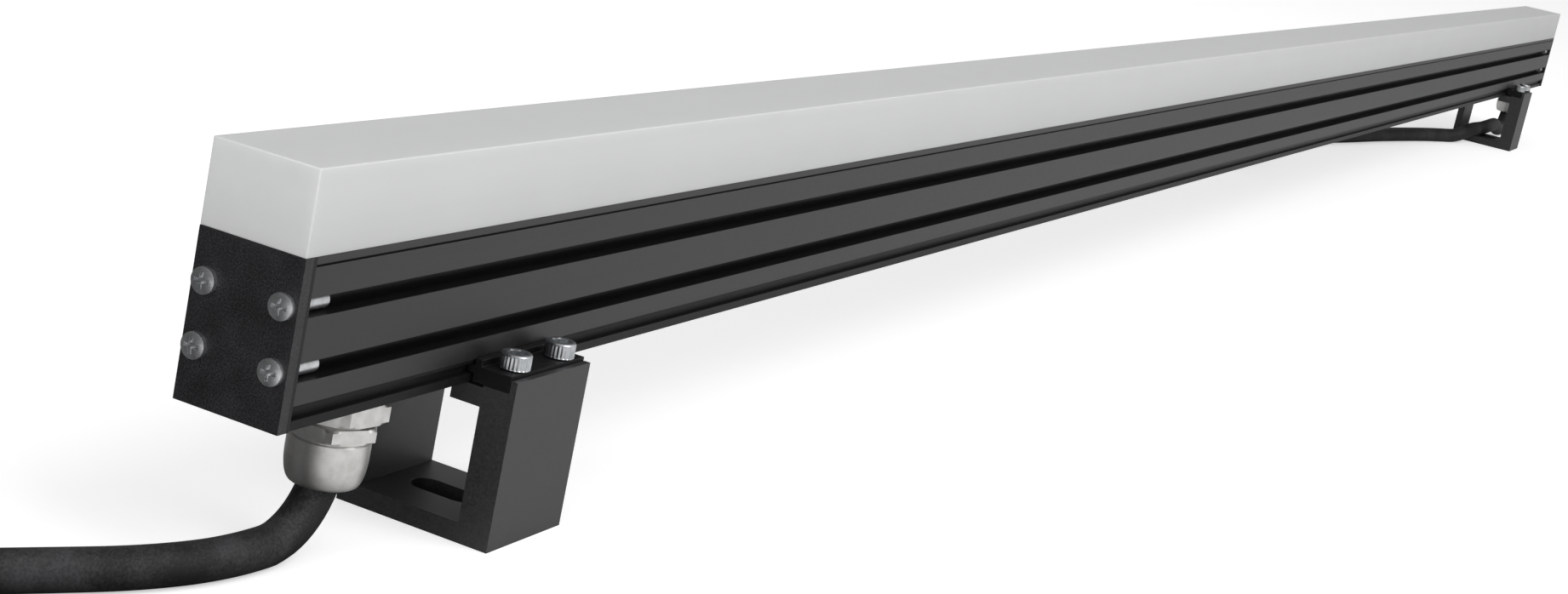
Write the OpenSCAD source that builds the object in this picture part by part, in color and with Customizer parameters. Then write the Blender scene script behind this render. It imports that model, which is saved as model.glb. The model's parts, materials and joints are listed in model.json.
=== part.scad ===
/* [Light] */
// Length over the end plates
light_len = 1200; // [600:10:1500]
// Width of the housing and of the cover
body_w = 20; // [20:0.5:26]
// Height of the metal housing
body_h = 28; // [28:0.5:34]
// Height of the milky cover
cover_h = 14; // [8:0.5:24]
// Height of the housing's underside above the surface that the brackets stand on
stand_h = 28.4; // [28:0.1:31]

/* [Housing] */
// Thickness of the outer walls
wall = 1.8; // [1.5:0.1:2.2]
// Thickness of the floor that the glands are screwed through
floor_t = 3.4; // [3.4:0.1:4]
// Thickness of the inner webs round the screw channels
web = 1.2; // [0.8:0.1:1.4]
// Height of each side groove, which is also the screw channel's bore
groove_h = 3.2; // [3:0.1:3.4]
// Height of the lower groove's middle above the underside
groove_low_z = 9.5; // [9.4:0.1:10]
// Depth of the upper groove's middle below the tray that holds the board
groove_high_depth = 3.5; // [3.4:0.1:4.4]
// Distance of a screw channel's middle from the side
channel_inset = 2.7; // [2.6:0.1:3]
// Depth of the tray that holds the board
tray_d = 4.6; // [4.4:0.1:5]
// Height of the clamp notch above the underside
notch_z = 1.6; // [1.4:0.1:1.8]
// Height of the clamp notch
notch_h = 1.8; // [1.7:0.1:1.9]
// Depth of the clamp notch
notch_d = 1.5; // [1.2:0.1:1.6]
// Height of the band round the notch that stands back from the side
band_h = 4.2; // [4:0.1:5]
// Distance that the band stands back
band_d = 0.4; // [0.2:0.1:0.6]

/* [Cover] */
// Wall of the milky cover
cover_wall = 1.6; // [1.4:0.1:2.4]
// Thickness of the legs that reach into the tray
leg_t = 1.2; // [0.8:0.1:1.6]
// Reach of the legs below the cover's edge
leg_h = 1.8; // [1:0.1:2.2]
// Width of the seal strip under the cover's edge
seal_w = 0.9; // [0.6:0.1:1]
// Height of the seal strip
seal_h = 0.6; // [0.4:0.1:0.8]

/* [End plates] */
// Thickness of an end plate
plate_t = 2.2; // [1.5:0.1:4]
// Thickness of an end gasket
gasket_t = 0.8; // [0.5:0.1:1.5]
// Radius of an end screw's shank
end_screw_r = 1.45; // [1.3:0.05:1.45]
// Length of an end screw below its head
end_screw_len = 10; // [7:0.5:14]
// Radius of an end screw's head
end_head_r = 2.2; // [2.1:0.05:2.5]
// Height of an end screw's head
end_head_h = 1.4; // [1:0.1:2]

/* [Board] */
// Thickness of the board
board_t = 1.6; // [1:0.1:1.8]
// Number of light sources
led_n = 36; // [12:2:48]
// Side of a light source
led_w = 5; // [3:0.5:5]
// Height of a light source
led_h = 1.5; // [0.8:0.1:2]
// Number of board screws
board_screw_n = 6; // [2:1:8]
// Radius of a board screw's shank
board_screw_r = 1; // [0.8:0.1:1.2]
// Side of a terminal block
terminal_w = 8; // [7.5:0.5:9]
// Height of a terminal block
terminal_h = 4; // [3:0.5:5]

/* [Glands] */
// Distance of a gland from its end of the light
gland_inset = 30; // [26:1:34]
// Clearance on each side of the nut in the housing
nut_gap = 0.3; // [0.2:0.05:0.6]
// Clearance round each lead in its gland
bore_gap = 0.2; // [0.1:0.05:0.3]
// Width across the flats of the gland's hexagon
gland_flats = 16; // [15:0.5:17]
// Height of the gland body's hexagon
gland_hex_h = 3.5; // [2.5:0.1:4]
// Thickness of the sealing washer
washer_t = 0.8; // [0.5:0.1:1.2]
// Height of the nut inside
nut_h = 2.6; // [2:0.1:2.7]
// Height of the whole cap below the gland's hexagon
cap_h = 11.9; // [11:0.1:13]
// Wall of the cap's round part round the thread
cap_wall = 1.3; // [1.1:0.1:1.4]
// Reach of the cap's flats beyond its round part
cap_flat_step = 0.2; // [0.2:0.1:1]

/* [Leads] */
// Diameter of both leads
lead_d = 7; // [6:0.1:7]
// Radius at the middle of the coiled turns
coil_r = 38.5; // [35:0.5:42]
// Whole turns of the coiled input lead
near_turns = 1; // [1:1:3]

/* [Plug and socket] */
// Radius of the coupling ring and of the socket's collar
ring_r = 8.5; // [8:0.1:10]
// Length of the coupling ring
ring_len = 14; // [12:0.5:18]
// Radius of the plug's and the socket's bodies
shell_r = 6.2; // [5.6:0.1:6.4]
// Length of the plug's and the socket's bodies
shell_len = 28; // [26:0.5:34]
// Length of the tapered boot
boot_len = 16; // [12:0.5:24]
// Radius of the boot where the lead goes in
boot_r = 4.4; // [4.2:0.1:5]

/* [Brackets] */
// Length of a bracket along the light
bracket_len = 25; // [20:0.5:26]
// Thickness of the wall that carries the jaw
jaw_wall = 6.5; // [6:0.1:8]
// Distance of the jaw wall's inner face from the housing's side
jaw_wall_gap = 2.5; // [2.4:0.1:4]
// Thickness of the other wall
plain_wall = 3.2; // [2.8:0.1:4]
// Overlap of the other wall under the housing
plain_under = 0.6; // [0.4:0.1:1.2]
// Thickness of the foot
foot_t = 3.6; // [3:0.1:3.6]
// Thickness of the ledge under the housing
ledge_t = 3.5; // [2.5:0.1:5]
// Reach of the ledge under the housing
ledge_reach = 3.6; // [2.5:0.1:5]
// Width of the mounting slot
slot_w = 6.6; // [5:0.1:8]
// Length of the mounting slot
slot_len = 13.5; // [11:0.5:15]
// Distance of the near bracket's middle from the near end
near_inset = 67.5; // [62:0.5:120]
// Distance of the far bracket's middle from the far end
far_inset = 102.5; // [86:0.5:104]

/* [Clamp] */
// Thickness of the jaw
jaw_t = 3; // [2.8:0.1:3.2]
// Thickness of the jaw's rib beside the housing
jaw_rib_t = 1.4; // [1:0.1:1.8]
// Height of the rib above the jaw
jaw_rib_h = 1.2; // [0.6:0.1:2]
// Width of the lip that stops the jaw
lip_w = 1.3; // [1:0.1:1.6]
// Height of the lip above the jaw's seat
lip_h = 2.3; // [1:0.1:2.6]
// Distance between the two cap screws
screw_pitch = 15; // [12:0.5:18]
// Radius of a cap screw's shank
cap_screw_r = 1.5; // [1.2:0.1:1.5]
// Length of a cap screw below its head
cap_screw_len = 12; // [8:0.5:20]
// Radius of a cap screw's head
cap_head_r = 2.75; // [2.3:0.05:2.8]
// Height of a cap screw's head
cap_head_h = 3; // [2:0.1:3.5]

/* [Hidden] */
$fn = 48;

// One overrun serves all cuts
cut = 1;
// Clearance between parts that slide on each other
slide_gap = 0.15;
// Clearance round parts that are pushed or screwed together
fit_gap = 0.1;
// Clearance beside the board and the cover's legs
loose_gap = 0.4;

// The light runs along X, the jaws are on the side of negative Y, and the brackets' feet are at zero
jaw_side_y = jaw_wall + jaw_wall_gap + body_w / 2;
plain_side_y = plain_wall - plain_under + body_w / 2;
mid_y = (jaw_side_y - plain_side_y) / 2;
under_z = stand_h;
seam_z = stand_h + body_h;
near_x = -light_len / 2;
far_x = light_len / 2;
end_stack = plate_t + gasket_t;
housing_len = light_len - 2 * end_stack;
gland_x = far_x - gland_inset;
channel_y = body_w / 2 - channel_inset;
channel_r = groove_h / 2;
tray_half = body_w / 2 - wall;
tray_z = body_h - tray_d;
groove_high_z = tray_z - groove_high_depth;
core_half = channel_y - channel_r - web;
bay_half = body_w / 2 - notch_d - web;
pocket_web_share = 1 / 6;
pocket_web = (groove_high_z - groove_low_z - groove_h) * pocket_web_share;

// The nut fills the bay, its thread lies between the lead and the nut's flats, and the gland follows the thread
nut_flats = 2 * (bay_half - nut_gap);
gland_bore_r = lead_d / 2 + bore_gap;
thread_share = 2 / 3;
thread_r = gland_bore_r + (nut_flats / 2 - gland_bore_r) * thread_share;
stub_r = thread_r - 2 * fit_gap;
cap_r = stub_r + cap_wall;
cap_flats = 2 * (cap_r + cap_flat_step);

// Fine line along the housing below the cover
trim_w = 0.4;
trim_z = body_h - 4 * trim_w;

// Moves children to the housing's middle line and underside
module on_body() {
    translate([0, mid_y, under_z]) children();
}

// Extrudes an outline drawn across the light, from start along X
module along(start, len) {
    translate([start, 0, 0]) rotate([90, 0, 90]) linear_extrude(len) children();
}

module box_at(y0, z0, y1, z1) {
    translate([y0, z0]) square([y1 - y0, z1 - z0]);
}

// Turns children to both sides of the middle plane
module both_sides() {
    children();
    mirror([1, 0, 0]) children();
}

module screw_channel(z) {
    translate([channel_y, z]) circle(r = channel_r, $fn = 32);
    box_at(channel_y, z - channel_r, body_w / 2 + cut, z + channel_r);
}

module chambers() {
    box_at(-core_half, floor_t, core_half, tray_z - wall);
    box_at(-bay_half, floor_t, bay_half, groove_low_z - channel_r - web);
    box_at(-tray_half, groove_low_z + channel_r + pocket_web, tray_half, groove_high_z - channel_r - pocket_web);
}

module housing_outline() {
    difference() {
        box_at(-body_w / 2, 0, body_w / 2, body_h);
        chambers();
        box_at(-tray_half, tray_z, tray_half, body_h + cut);
        both_sides() {
            screw_channel(groove_low_z);
            screw_channel(groove_high_z);
            box_at(body_w / 2 - notch_d, notch_z, body_w / 2 + cut, notch_z + notch_h);
            box_at(body_w / 2 - band_d, -cut, body_w / 2 + cut, band_h);
            box_at(body_w / 2 - trim_w, trim_z, body_w / 2 + cut, trim_z + trim_w);
            box_at(tray_half - cut, body_h - seal_h, tray_half + seal_w, body_h + cut);
        }
    }
}

// Board screws stand midway between two light sources
led_span = 2 * gland_x - 2 * terminal_w - 4 * led_w;
led_pitch = led_span / (led_n - 1);
board_screw_step = floor((led_n - 2) / max(board_screw_n - 1, 1));
function board_screw_x(i) = (i - (board_screw_n - 1) / 2) * board_screw_step * led_pitch
    + ((board_screw_n - 1) * board_screw_step % 2 == 0 ? 0 : led_pitch / 2);
wire_hole_r = 3;
wire_r = 0.7;
wire_pitch = 2 * wire_r + 3 * fit_gap;

module housing() {
    color("#2b2b2d") on_body() difference() {
        along(-housing_len / 2, housing_len) housing_outline();
        for (side = [-1, 1]) translate([side * gland_x, 0, -cut])
            cylinder(r = thread_r + fit_gap, h = floor_t + 2 * cut);
        for (side = [-1, 1]) translate([side * gland_x, 0, tray_z - wall - cut])
            cylinder(r = wire_hole_r, h = wall + 2 * cut);
        for (i = [0:board_screw_n - 1]) translate([board_screw_x(i), 0, tray_z - wall - cut])
            cylinder(r = board_screw_r + fit_gap, h = wall + 2 * cut, $fn = 24);
    }
}

module cover_outline() {
    difference() {
        box_at(-body_w / 2, 0, body_w / 2, cover_h);
        box_at(cover_wall - body_w / 2, -cut, body_w / 2 - cover_wall, cover_h - cover_wall);
    }
}

leg_half = tray_half - 2 * fit_gap;
module leg_outline() {
    box_at(leg_half - leg_t, -leg_h, leg_half, leg_t);
    box_at(leg_half - leg_t, 0, body_w / 2 - cover_wall / 2, leg_t);
}

module diffuser() {
    color("#eef0ee") on_body() translate([0, 0, body_h]) union() {
        along(near_x, light_len) cover_outline();
        for (x = [near_x, far_x - cover_wall]) along(x, cover_wall)
            box_at(-body_w / 2, 0, body_w / 2, cover_h);
        along(loose_gap - housing_len / 2, housing_len - 2 * loose_gap) both_sides() leg_outline();
    }
}

module cover_seals() {
    color("#3a3a3c") on_body() along(-housing_len / 2, housing_len)
        both_sides() box_at(tray_half + fit_gap / 2, body_h - seal_h, tray_half + seal_w - fit_gap / 2, body_h);
}

// A flat piece across the end of the housing, with its four screw holes
module end_sheet(t, hole_r) {
    difference() {
        along(0, t) box_at(-body_w / 2, 0, body_w / 2, body_h);
        for (y = [-channel_y, channel_y], z = [groove_low_z, groove_high_z])
            translate([-cut, y, z]) rotate([0, 90, 0]) cylinder(r = hole_r, h = t + 2 * cut, $fn = 32);
    }
}

// Pan head with a cross recess, its shank towards positive X from the origin
recess_share = 0.62;
module end_screw() {
    recess_w = end_head_h / 2;
    difference() {
        rotate([0, -90, 0]) rotate_extrude($fn = 40) intersection() {
            square([end_head_r, end_head_h]);
            scale([end_head_r, end_head_h]) translate([0, -recess_share]) circle(r = 1 + recess_share, $fn = 64);
        }
        for (a = [0, 90]) rotate([a, 0, 0]) translate([-end_head_h - cut, -end_head_r * recess_share, -recess_w / 2])
            cube([cut + end_head_h * recess_share, 2 * end_head_r * recess_share, recess_w]);
    }
    rotate([0, 90, 0]) cylinder(r = end_screw_r, h = end_screw_len, $fn = 32);
}

module end_screws() {
    for (y = [-channel_y, channel_y], z = [groove_low_z, groove_high_z])
        translate([0, y, z]) end_screw();
}

module near_end_plate() {
    color("#202022") on_body() translate([near_x, 0, 0]) end_sheet(plate_t, end_screw_r + fit_gap);
}

module near_end_gasket() {
    color("#101010") on_body() translate([near_x + plate_t, 0, 0]) end_sheet(gasket_t, end_screw_r + fit_gap);
}

module near_end_screws() {
    color("#c9ccd0") on_body() translate([near_x, 0, 0]) end_screws();
}

module far_end_plate() {
    color("#202022") on_body() translate([far_x, 0, 0]) mirror([1, 0, 0]) end_sheet(plate_t, end_screw_r + fit_gap);
}

module far_end_gasket() {
    color("#101010") on_body() translate([far_x - plate_t, 0, 0]) mirror([1, 0, 0])
        end_sheet(gasket_t, end_screw_r + fit_gap);
}

module far_end_screws() {
    color("#c9ccd0") on_body() translate([far_x, 0, 0]) mirror([1, 0, 0]) end_screws();
}

board_top = tray_z + board_t;
board_half = tray_half - loose_gap;
module led_board() {
    color("#e8e8e4") on_body() difference() {
        along(loose_gap - housing_len / 2, housing_len - 2 * loose_gap)
            box_at(-board_half, tray_z, board_half, board_top);
        for (side = [-1, 1]) translate([side * gland_x, 0, tray_z - cut])
            cylinder(r = wire_hole_r, h = board_t + 2 * cut);
        for (i = [0:board_screw_n - 1]) translate([board_screw_x(i), 0, tray_z - cut])
            cylinder(r = board_screw_r + fit_gap, h = board_t + 2 * cut, $fn = 24);
    }
}

module led_chips() {
    color("#f3e7a8") on_body() for (i = [0:led_n - 1])
        translate([(i - (led_n - 1) / 2) * led_pitch - led_w / 2, -led_w / 2, board_top])
            cube([led_w, led_w, led_h]);
}

module board_screws() {
    color("#b9bcc0") on_body() for (i = [0:board_screw_n - 1]) translate([board_screw_x(i), 0, 0]) {
        translate([0, 0, board_top]) cylinder(r = 2 * board_screw_r, h = board_screw_r, $fn = 32);
        translate([0, 0, tray_z - wall]) cylinder(r = board_screw_r, h = wall + board_t, $fn = 24);
    }
}

module terminal(x) {
    on_body() translate([x - terminal_w / 2, -terminal_w / 2, board_top])
        cube([terminal_w, terminal_w, terminal_h]);
}

// The lead ends inside the housing, a little above the gland's nut
entry_top = floor_t + nut_h + nut_gap;
module wires(x) {
    on_body() for (i = [-1:1]) translate([x + i * wire_pitch, 0, entry_top])
        cylinder(r = wire_r, h = board_top - entry_top, $fn = 16);
}

module near_terminal() {
    color("#e9e9e9") terminal(-gland_x);
}

module far_terminal() {
    color("#e9e9e9") terminal(gland_x);
}

module near_wires() {
    color("#8a2020") wires(-gland_x);
}

module far_wires() {
    color("#8a2020") wires(gland_x);
}

// Gland heights are measured down from the underside
hex_top = washer_t;
hex_end = hex_top + gland_hex_h;
neck_h = 0.7;
cap_top = hex_end + neck_h;
cap_end = cap_top + cap_h - neck_h;
cap_hex_h = 2.6;
cap_ring_w = 0.4;
insert_h = 2;
insert_share = 0.7;
insert_r = lead_d / 2 + fit_gap + (stub_r - lead_d / 2 - fit_gap) * insert_share;
insert_depth = 7.7;
insert_top = cap_end - insert_depth;
insert_end = insert_top + insert_h;
mouth_r = 5;
dome_h = 5.2;
dome_start = cap_end - dome_h;
dome_end_r = 5.5;
cap_turn = 24;
body_turn = 9;

function corner(flats) = flats / sqrt(3);

module down(depth) {
    translate([0, 0, -depth]) children();
}

module gland_body(x) {
    on_body() translate([x, 0, 0]) difference() {
        union() {
            down(hex_end) rotate(body_turn) cylinder(r = corner(gland_flats), h = gland_hex_h, $fn = 6);
            down(hex_end) cylinder(r = thread_r, h = hex_end + floor_t + nut_h);
            down(insert_top) cylinder(r = stub_r, h = insert_top - hex_end + cut);
        }
        down(insert_top + cut) cylinder(r = gland_bore_r, h = insert_top + floor_t + nut_h + 2 * cut);
    }
}

module ring(outer, inner, h) {
    difference() {
        cylinder(r = outer, h = h);
        translate([0, 0, -cut]) cylinder(r = inner, h = h + 2 * cut);
    }
}

module gland_washer(x) {
    on_body() translate([x, 0, -washer_t]) ring(thread_r + 2 * washer_t, thread_r + fit_gap, washer_t);
}

module gland_nut(x) {
    on_body() translate([x, 0, floor_t]) difference() {
        cylinder(r = corner(nut_flats), h = nut_h, $fn = 6);
        translate([0, 0, -cut]) cylinder(r = thread_r + fit_gap, h = nut_h + 2 * cut);
    }
}

module gland_insert(x) {
    on_body() translate([x, 0, -insert_end]) ring(insert_r, lead_d / 2 + fit_gap, insert_h);
}

// The cap is a hexagon, a fine ring, and a round part that ends in a dome
dome_n = 8;
function dome_point(i) = [
    dome_end_r + (cap_r - dome_end_r) * cos(90 * i / dome_n),
    -dome_start - (cap_end - dome_start) * sin(90 * i / dome_n)
];
module cap_outline() {
    polygon(concat(
        [[0, -cap_top], [cap_r, -cap_top], [cap_r, -cap_top - cap_hex_h]],
        [[cap_r - cap_ring_w, -cap_top - cap_hex_h], [cap_r - cap_ring_w, -cap_top - cap_hex_h - cap_ring_w]],
        [[cap_r, -cap_top - cap_hex_h - cap_ring_w]],
        [for (i = [0:dome_n]) dome_point(i)],
        [[0, -cap_end]]
    ));
}

module gland_cap(x) {
    on_body() translate([x, 0, 0]) difference() {
        union() {
            rotate_extrude() cap_outline();
            down(cap_top + cap_hex_h) rotate(cap_turn) cylinder(r = corner(cap_flats), h = cap_hex_h, $fn = 6);
        }
        down(insert_top) cylinder(r = stub_r + fit_gap, h = insert_top - cap_top + cut);
        down(insert_end) cylinder(r = insert_r + fit_gap, h = insert_h + cut);
        down(cap_end + cut) cylinder(r = gland_bore_r + fit_gap, h = cap_end - insert_end + 2 * cut);
        down(cap_end) cylinder(r1 = mouth_r, r2 = gland_bore_r + fit_gap, h = cap_end - insert_end);
    }
}

module lead_entry(x) {
    on_body() translate([x, 0, -insert_end]) cylinder(r = lead_d / 2, h = insert_end + entry_top);
}

module near_gland_body() {
    color("#c8c6c0") gland_body(-gland_x);
}

module near_gland_washer() {
    color("#151515") gland_washer(-gland_x);
}

module near_gland_nut() {
    color("#c8c6c0") gland_nut(-gland_x);
}

module near_gland_insert() {
    color("#151515") gland_insert(-gland_x);
}

module near_gland_cap() {
    color("#c8c6c0") gland_cap(-gland_x);
}

module far_gland_body() {
    color("#c8c6c0") gland_body(gland_x);
}

module far_gland_washer() {
    color("#151515") gland_washer(gland_x);
}

module far_gland_nut() {
    color("#c8c6c0") gland_nut(gland_x);
}

module far_gland_insert() {
    color("#151515") gland_insert(gland_x);
}

module far_gland_cap() {
    color("#c8c6c0") gland_cap(gland_x);
}

module near_lead_entry() {
    color("#1b1b1d") lead_entry(-gland_x);
}

module far_lead_entry() {
    color("#1b1b1d") lead_entry(gland_x);
}

// The bracket's outline, drawn across the light with the housing's underside at zero
half_w = body_w / 2;
jaw_inner = half_w + jaw_wall_gap;
jaw_outer = half_w + jaw_wall_gap + jaw_wall;
plain_inner = half_w - plain_under;
plain_outer = plain_inner + plain_wall;
hook_y = half_w - notch_d + 2 * slide_gap;
hook_low = notch_z + slide_gap;
hook_high = notch_z + notch_h - slide_gap;
jaw_seat = hook_high - jaw_t;
module bracket_outline() {
    polygon([
        [-jaw_outer, jaw_seat + lip_h], [-jaw_outer, -stand_h], [plain_outer, -stand_h], [plain_outer, hook_high],
        [hook_y, hook_high], [hook_y, hook_low], [half_w + slide_gap, hook_low], [half_w + slide_gap, -slide_gap],
        [plain_inner, -slide_gap], [plain_inner, foot_t - stand_h], [-jaw_inner, foot_t - stand_h],
        [-jaw_inner, -slide_gap - ledge_t], [ledge_reach - half_w, -slide_gap - ledge_t],
        [ledge_reach - half_w, -slide_gap], [-jaw_inner, -slide_gap], [-jaw_inner, jaw_seat],
        [lip_w - jaw_outer, jaw_seat], [lip_w - jaw_outer, jaw_seat + lip_h]
    ]);
}

screw_y = -(jaw_inner + jaw_outer - lip_w) / 2;
slot_y = (plain_outer - jaw_outer) / 2 + plain_wall / 2;
module bracket(x) {
    on_body() translate([x, 0, 0]) difference() {
        along(-bracket_len / 2, bracket_len) bracket_outline();
        for (side = [-1, 1]) translate([side * screw_pitch / 2, screw_y, jaw_seat + jaw_t - cap_screw_len - cut])
            cylinder(r = cap_screw_r + fit_gap, h = cap_screw_len + cut, $fn = 32);
        translate([0, slot_y, -stand_h - cut]) union() {
            for (side = [-1, 1]) translate([0, side * (slot_len - slot_w) / 2, 0])
                cylinder(r = slot_w / 2, h = foot_t + 2 * cut);
            translate([-slot_w / 2, -(slot_len - slot_w) / 2, 0])
                cube([slot_w, slot_len - slot_w, foot_t + 2 * cut]);
        }
    }
}

module jaw(x) {
    on_body() translate([x, 0, 0]) difference() {
        along(-bracket_len / 2, bracket_len) polygon([
            [lip_w - jaw_outer + fit_gap, jaw_seat], [-half_w - slide_gap, jaw_seat],
            [-half_w - slide_gap, hook_low], [-hook_y, hook_low],
            [-hook_y, hook_high], [-half_w - slide_gap, hook_high],
            [-half_w - slide_gap, hook_high + jaw_rib_h],
            [-half_w - slide_gap - jaw_rib_t, hook_high + jaw_rib_h],
            [-half_w - slide_gap - jaw_rib_t, hook_high], [lip_w - jaw_outer + fit_gap, hook_high]
        ]);
        for (side = [-1, 1]) translate([side * screw_pitch / 2, screw_y, jaw_seat - cut])
            cylinder(r = cap_screw_r + 2 * fit_gap, h = jaw_t + 2 * cut, $fn = 32);
    }
}

module clamp_screws(x) {
    on_body() for (side = [-1, 1]) translate([x + side * screw_pitch / 2, screw_y, hook_high]) {
        down(cap_screw_len) cylinder(r = cap_screw_r, h = cap_screw_len, $fn = 32);
        difference() {
            cylinder(r = cap_head_r, h = cap_head_h, $fn = 40);
            translate([0, 0, cap_head_h / 2]) cylinder(r = cap_screw_r, h = cap_head_h, $fn = 6);
        }
    }
}

near_bracket_x = near_x + near_inset;
far_bracket_x = far_x - far_inset;

module near_bracket() {
    color("#232325") bracket(near_bracket_x);
}

module far_bracket() {
    color("#232325") bracket(far_bracket_x);
}

module near_jaw() {
    color("#1c1c1e") jaw(near_bracket_x);
}

module far_jaw() {
    color("#1c1c1e") jaw(far_bracket_x);
}

module near_clamp_screws() {
    color("#c9ccd0") clamp_screws(near_bracket_x);
}

module far_clamp_screws() {
    color("#c9ccd0") clamp_screws(far_bracket_x);
}

lead_r = lead_d / 2;

// Each lead drops out of its gland in a quarter circle that reaches the surface
exit_z = stand_h - insert_end;
exit_straight = 0.6;
drop_r = exit_z - exit_straight - lead_r;
drop_n = 6;
function drop_point(a) = [-drop_r * (1 - cos(a)), 0, lead_r + drop_r * (1 - sin(a))];
drop = concat([[0, 0, exit_z]], [for (i = [0:drop_n]) drop_point(90 * i / drop_n)]);

// The rest of each route: place on the surface from the gland's middle, and height of the lead's underside
near_path = [
    [-20, 0.4, 0], [-27, 1.7, 0], [-34, 4.1, 0], [-41, 7.4, 0], [-48, 11.5, 0], [-56, 16.4, 0],
    [-63, 20.7, 0], [-70, 24.9, 0], [-77, 29, 0], [-84, 33, 0], [-91, 37, 0], [-98, 41, 0],
    [-105, 45, 0], [-112, 49, 0], [-119, 53, 0]
];
far_path = [
    [-18, 0, 0], [-23, 0, 0.6], [-28, 0, 1.9], [-33, 0, 3.2], [-38, 0, 3.8], [-50, 0, 3.8], [-62, 0, 3.8],
    [-75, 0.3, 3.8], [-88, 1.6, 3.8], [-94, 2.8, 3.2], [-100, 4.4, 1.9], [-106, 6.3, 0.6], [-112, 8.4, 0],
    [-122, 11.8, 0], [-134, 15.7, 0], [-148, 19.6, 0], [-162, 23.1, 0], [-176, 26.4, 0], [-190, 29.6, 0],
    [-204, 32.4, 0], [-218, 35, 0], [-232, 37.8, 0], [-246, 40.8, 0], [-260, 43.6, 0], [-274, 46, 0],
    [-288, 47.9, 0], [-302, 49.2, 0], [-316, 49.9, 0], [-330, 50, 0], [-338, 50, 0]
];

// The tail climbs from a lead's end to the middle of the boot's face
tail_len = 36;
tail_n = 6;
function ramp(u) = u <= 0 ? 0 : u >= 1 ? 1 : (1 - cos(180 * u)) / 2;
function tail_points(low) = concat(
    [for (i = [0:tail_n]) let (u = i / tail_n)
        [lead_d + (tail_len - 2 * lead_d) * u, 0, low + (ring_r - low) * ramp(u)]],
    [[tail_len, 0, ring_r]]
);

function heading(p) = let (step = p[len(p) - 1] - p[len(p) - 2]) atan2(step.y, step.x);
function past_end(p, q) = let (end = p[len(p) - 1])
    [end.x + q.x * cos(heading(p)), end.y + q.x * sin(heading(p)), q.z];
function route(path) = concat(drop, [for (p = path) p + [0, 0, lead_r]]);
near_route = route(near_path);
far_route = concat(route(far_path), [for (q = tail_points(lead_r)) past_end(far_path, q)]);

// A tube of flat faces through the points, its rings square to the route
function unit(v) = v / norm(v);
function along_at(p, i) = unit(
    i == 0 ? p[1] - p[0] : i == len(p) - 1 ? p[i] - p[i - 1] : unit(p[i + 1] - p[i]) + unit(p[i] - p[i - 1])
);
function ring_points(c, t, up, r, n) = let (
    side = unit(cross(t, up)),
    rise = cross(side, t)
) [for (k = [0:n - 1]) c + r * (cos(360 * k / n) * side + sin(360 * k / n) * rise)];
function tube_points(p, up, r, n) = [
    for (i = [0:len(p) - 1]) each ring_points(p[i], along_at(p, i), up, r, n)
];
function tube_faces(m, n) = concat(
    [[for (k = [n - 1:-1:0]) k]],
    [for (i = [0:m - 2], k = [0:n - 1]) each [
        [i * n + k, i * n + (k + 1) % n, (i + 1) * n + (k + 1) % n],
        [i * n + k, (i + 1) * n + (k + 1) % n, (i + 1) * n + k]
    ]],
    [[for (k = [0:n - 1]) (m - 1) * n + k]]
);
module tube(p, up, r, n) {
    polyhedron(points = tube_points(p, up, r, n), faces = tube_faces(len(p), n));
}

lead_sides = 10;
module near_lead() {
    color("#1b1b1d") translate([-gland_x, mid_y, 0]) tube(near_route, [0, 1, 0], lead_r, lead_sides);
}

module far_lead() {
    color("#1b1b1d") translate([gland_x, mid_y, 0]) tube(far_route, [0, 1, 0], lead_r, lead_sides);
}

// Piled turns spiral in, climb a layer where the spiral reverses, and spiral out again
turn_gap = 0.6;
turn_pitch = lead_d + turn_gap;
rings_per_turn = 24;
exit_turn = 30;
turned = 360 * near_turns + exit_turn;
coil_start = coil_r + turn_pitch / 2;
function coil_radius(a) = coil_r - turn_pitch / 2 + turn_pitch * abs(2 * a / turned - 1);
function coil_point(a) = [
    coil_radius(a) * sin(a),
    coil_start - coil_radius(a) * cos(a),
    lead_r + turn_pitch * ramp((a - turned / 2) / 180 + 1 / 2)
];
coil_points = concat(
    [coil_point(0) - [lead_d, 0, 0]],
    [for (i = [0:rings_per_turn * turned / 360]) coil_point(360 * i / rings_per_turn)],
    [coil_point(turned) + lead_d * [cos(turned), sin(turned), 0]]
);
function self_gap(p) = min([
    for (i = [0:len(p) - 1], j = [0:len(p) - 1]) if (j > i + rings_per_turn / 2) norm(p[i] - p[j])
]) - lead_d;
echo(near_coil_gap = self_gap(coil_points));

// Places children at the end of a laid route, their X along its heading
module at_end(x, path) {
    translate([x, mid_y, 0] + [path[len(path) - 1].x, path[len(path) - 1].y, 0]) rotate(heading(path)) children();
}

module at_coil() {
    at_end(-gland_x, near_path) translate([lead_d, 0, 0]) children();
}

// The near tail leaves the coil where its last turn ends
module at_near_end() {
    at_coil() translate([0, coil_start, 0]) rotate(exit_turn) translate([lead_d, -coil_start, 0]) children();
}

module at_far_end() {
    at_end(gland_x, far_path) children();
}

coil_sides = 6;
module near_coil() {
    color("#1b1b1d") at_coil() tube(coil_points, [0, 0, 1], lead_r, coil_sides);
}

module near_tail() {
    color("#1b1b1d") at_near_end() tube(concat([[0, 0, lead_r + turn_pitch]], tail_points(lead_r + turn_pitch)),
        [0, 0, 1], lead_r, lead_sides);
}

// The plug and the socket lie along the tail, measured from the boot's face
module at_plug(dist) {
    translate([tail_len + dist, 0, ring_r]) rotate([0, 90, 0]) children();
}

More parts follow.
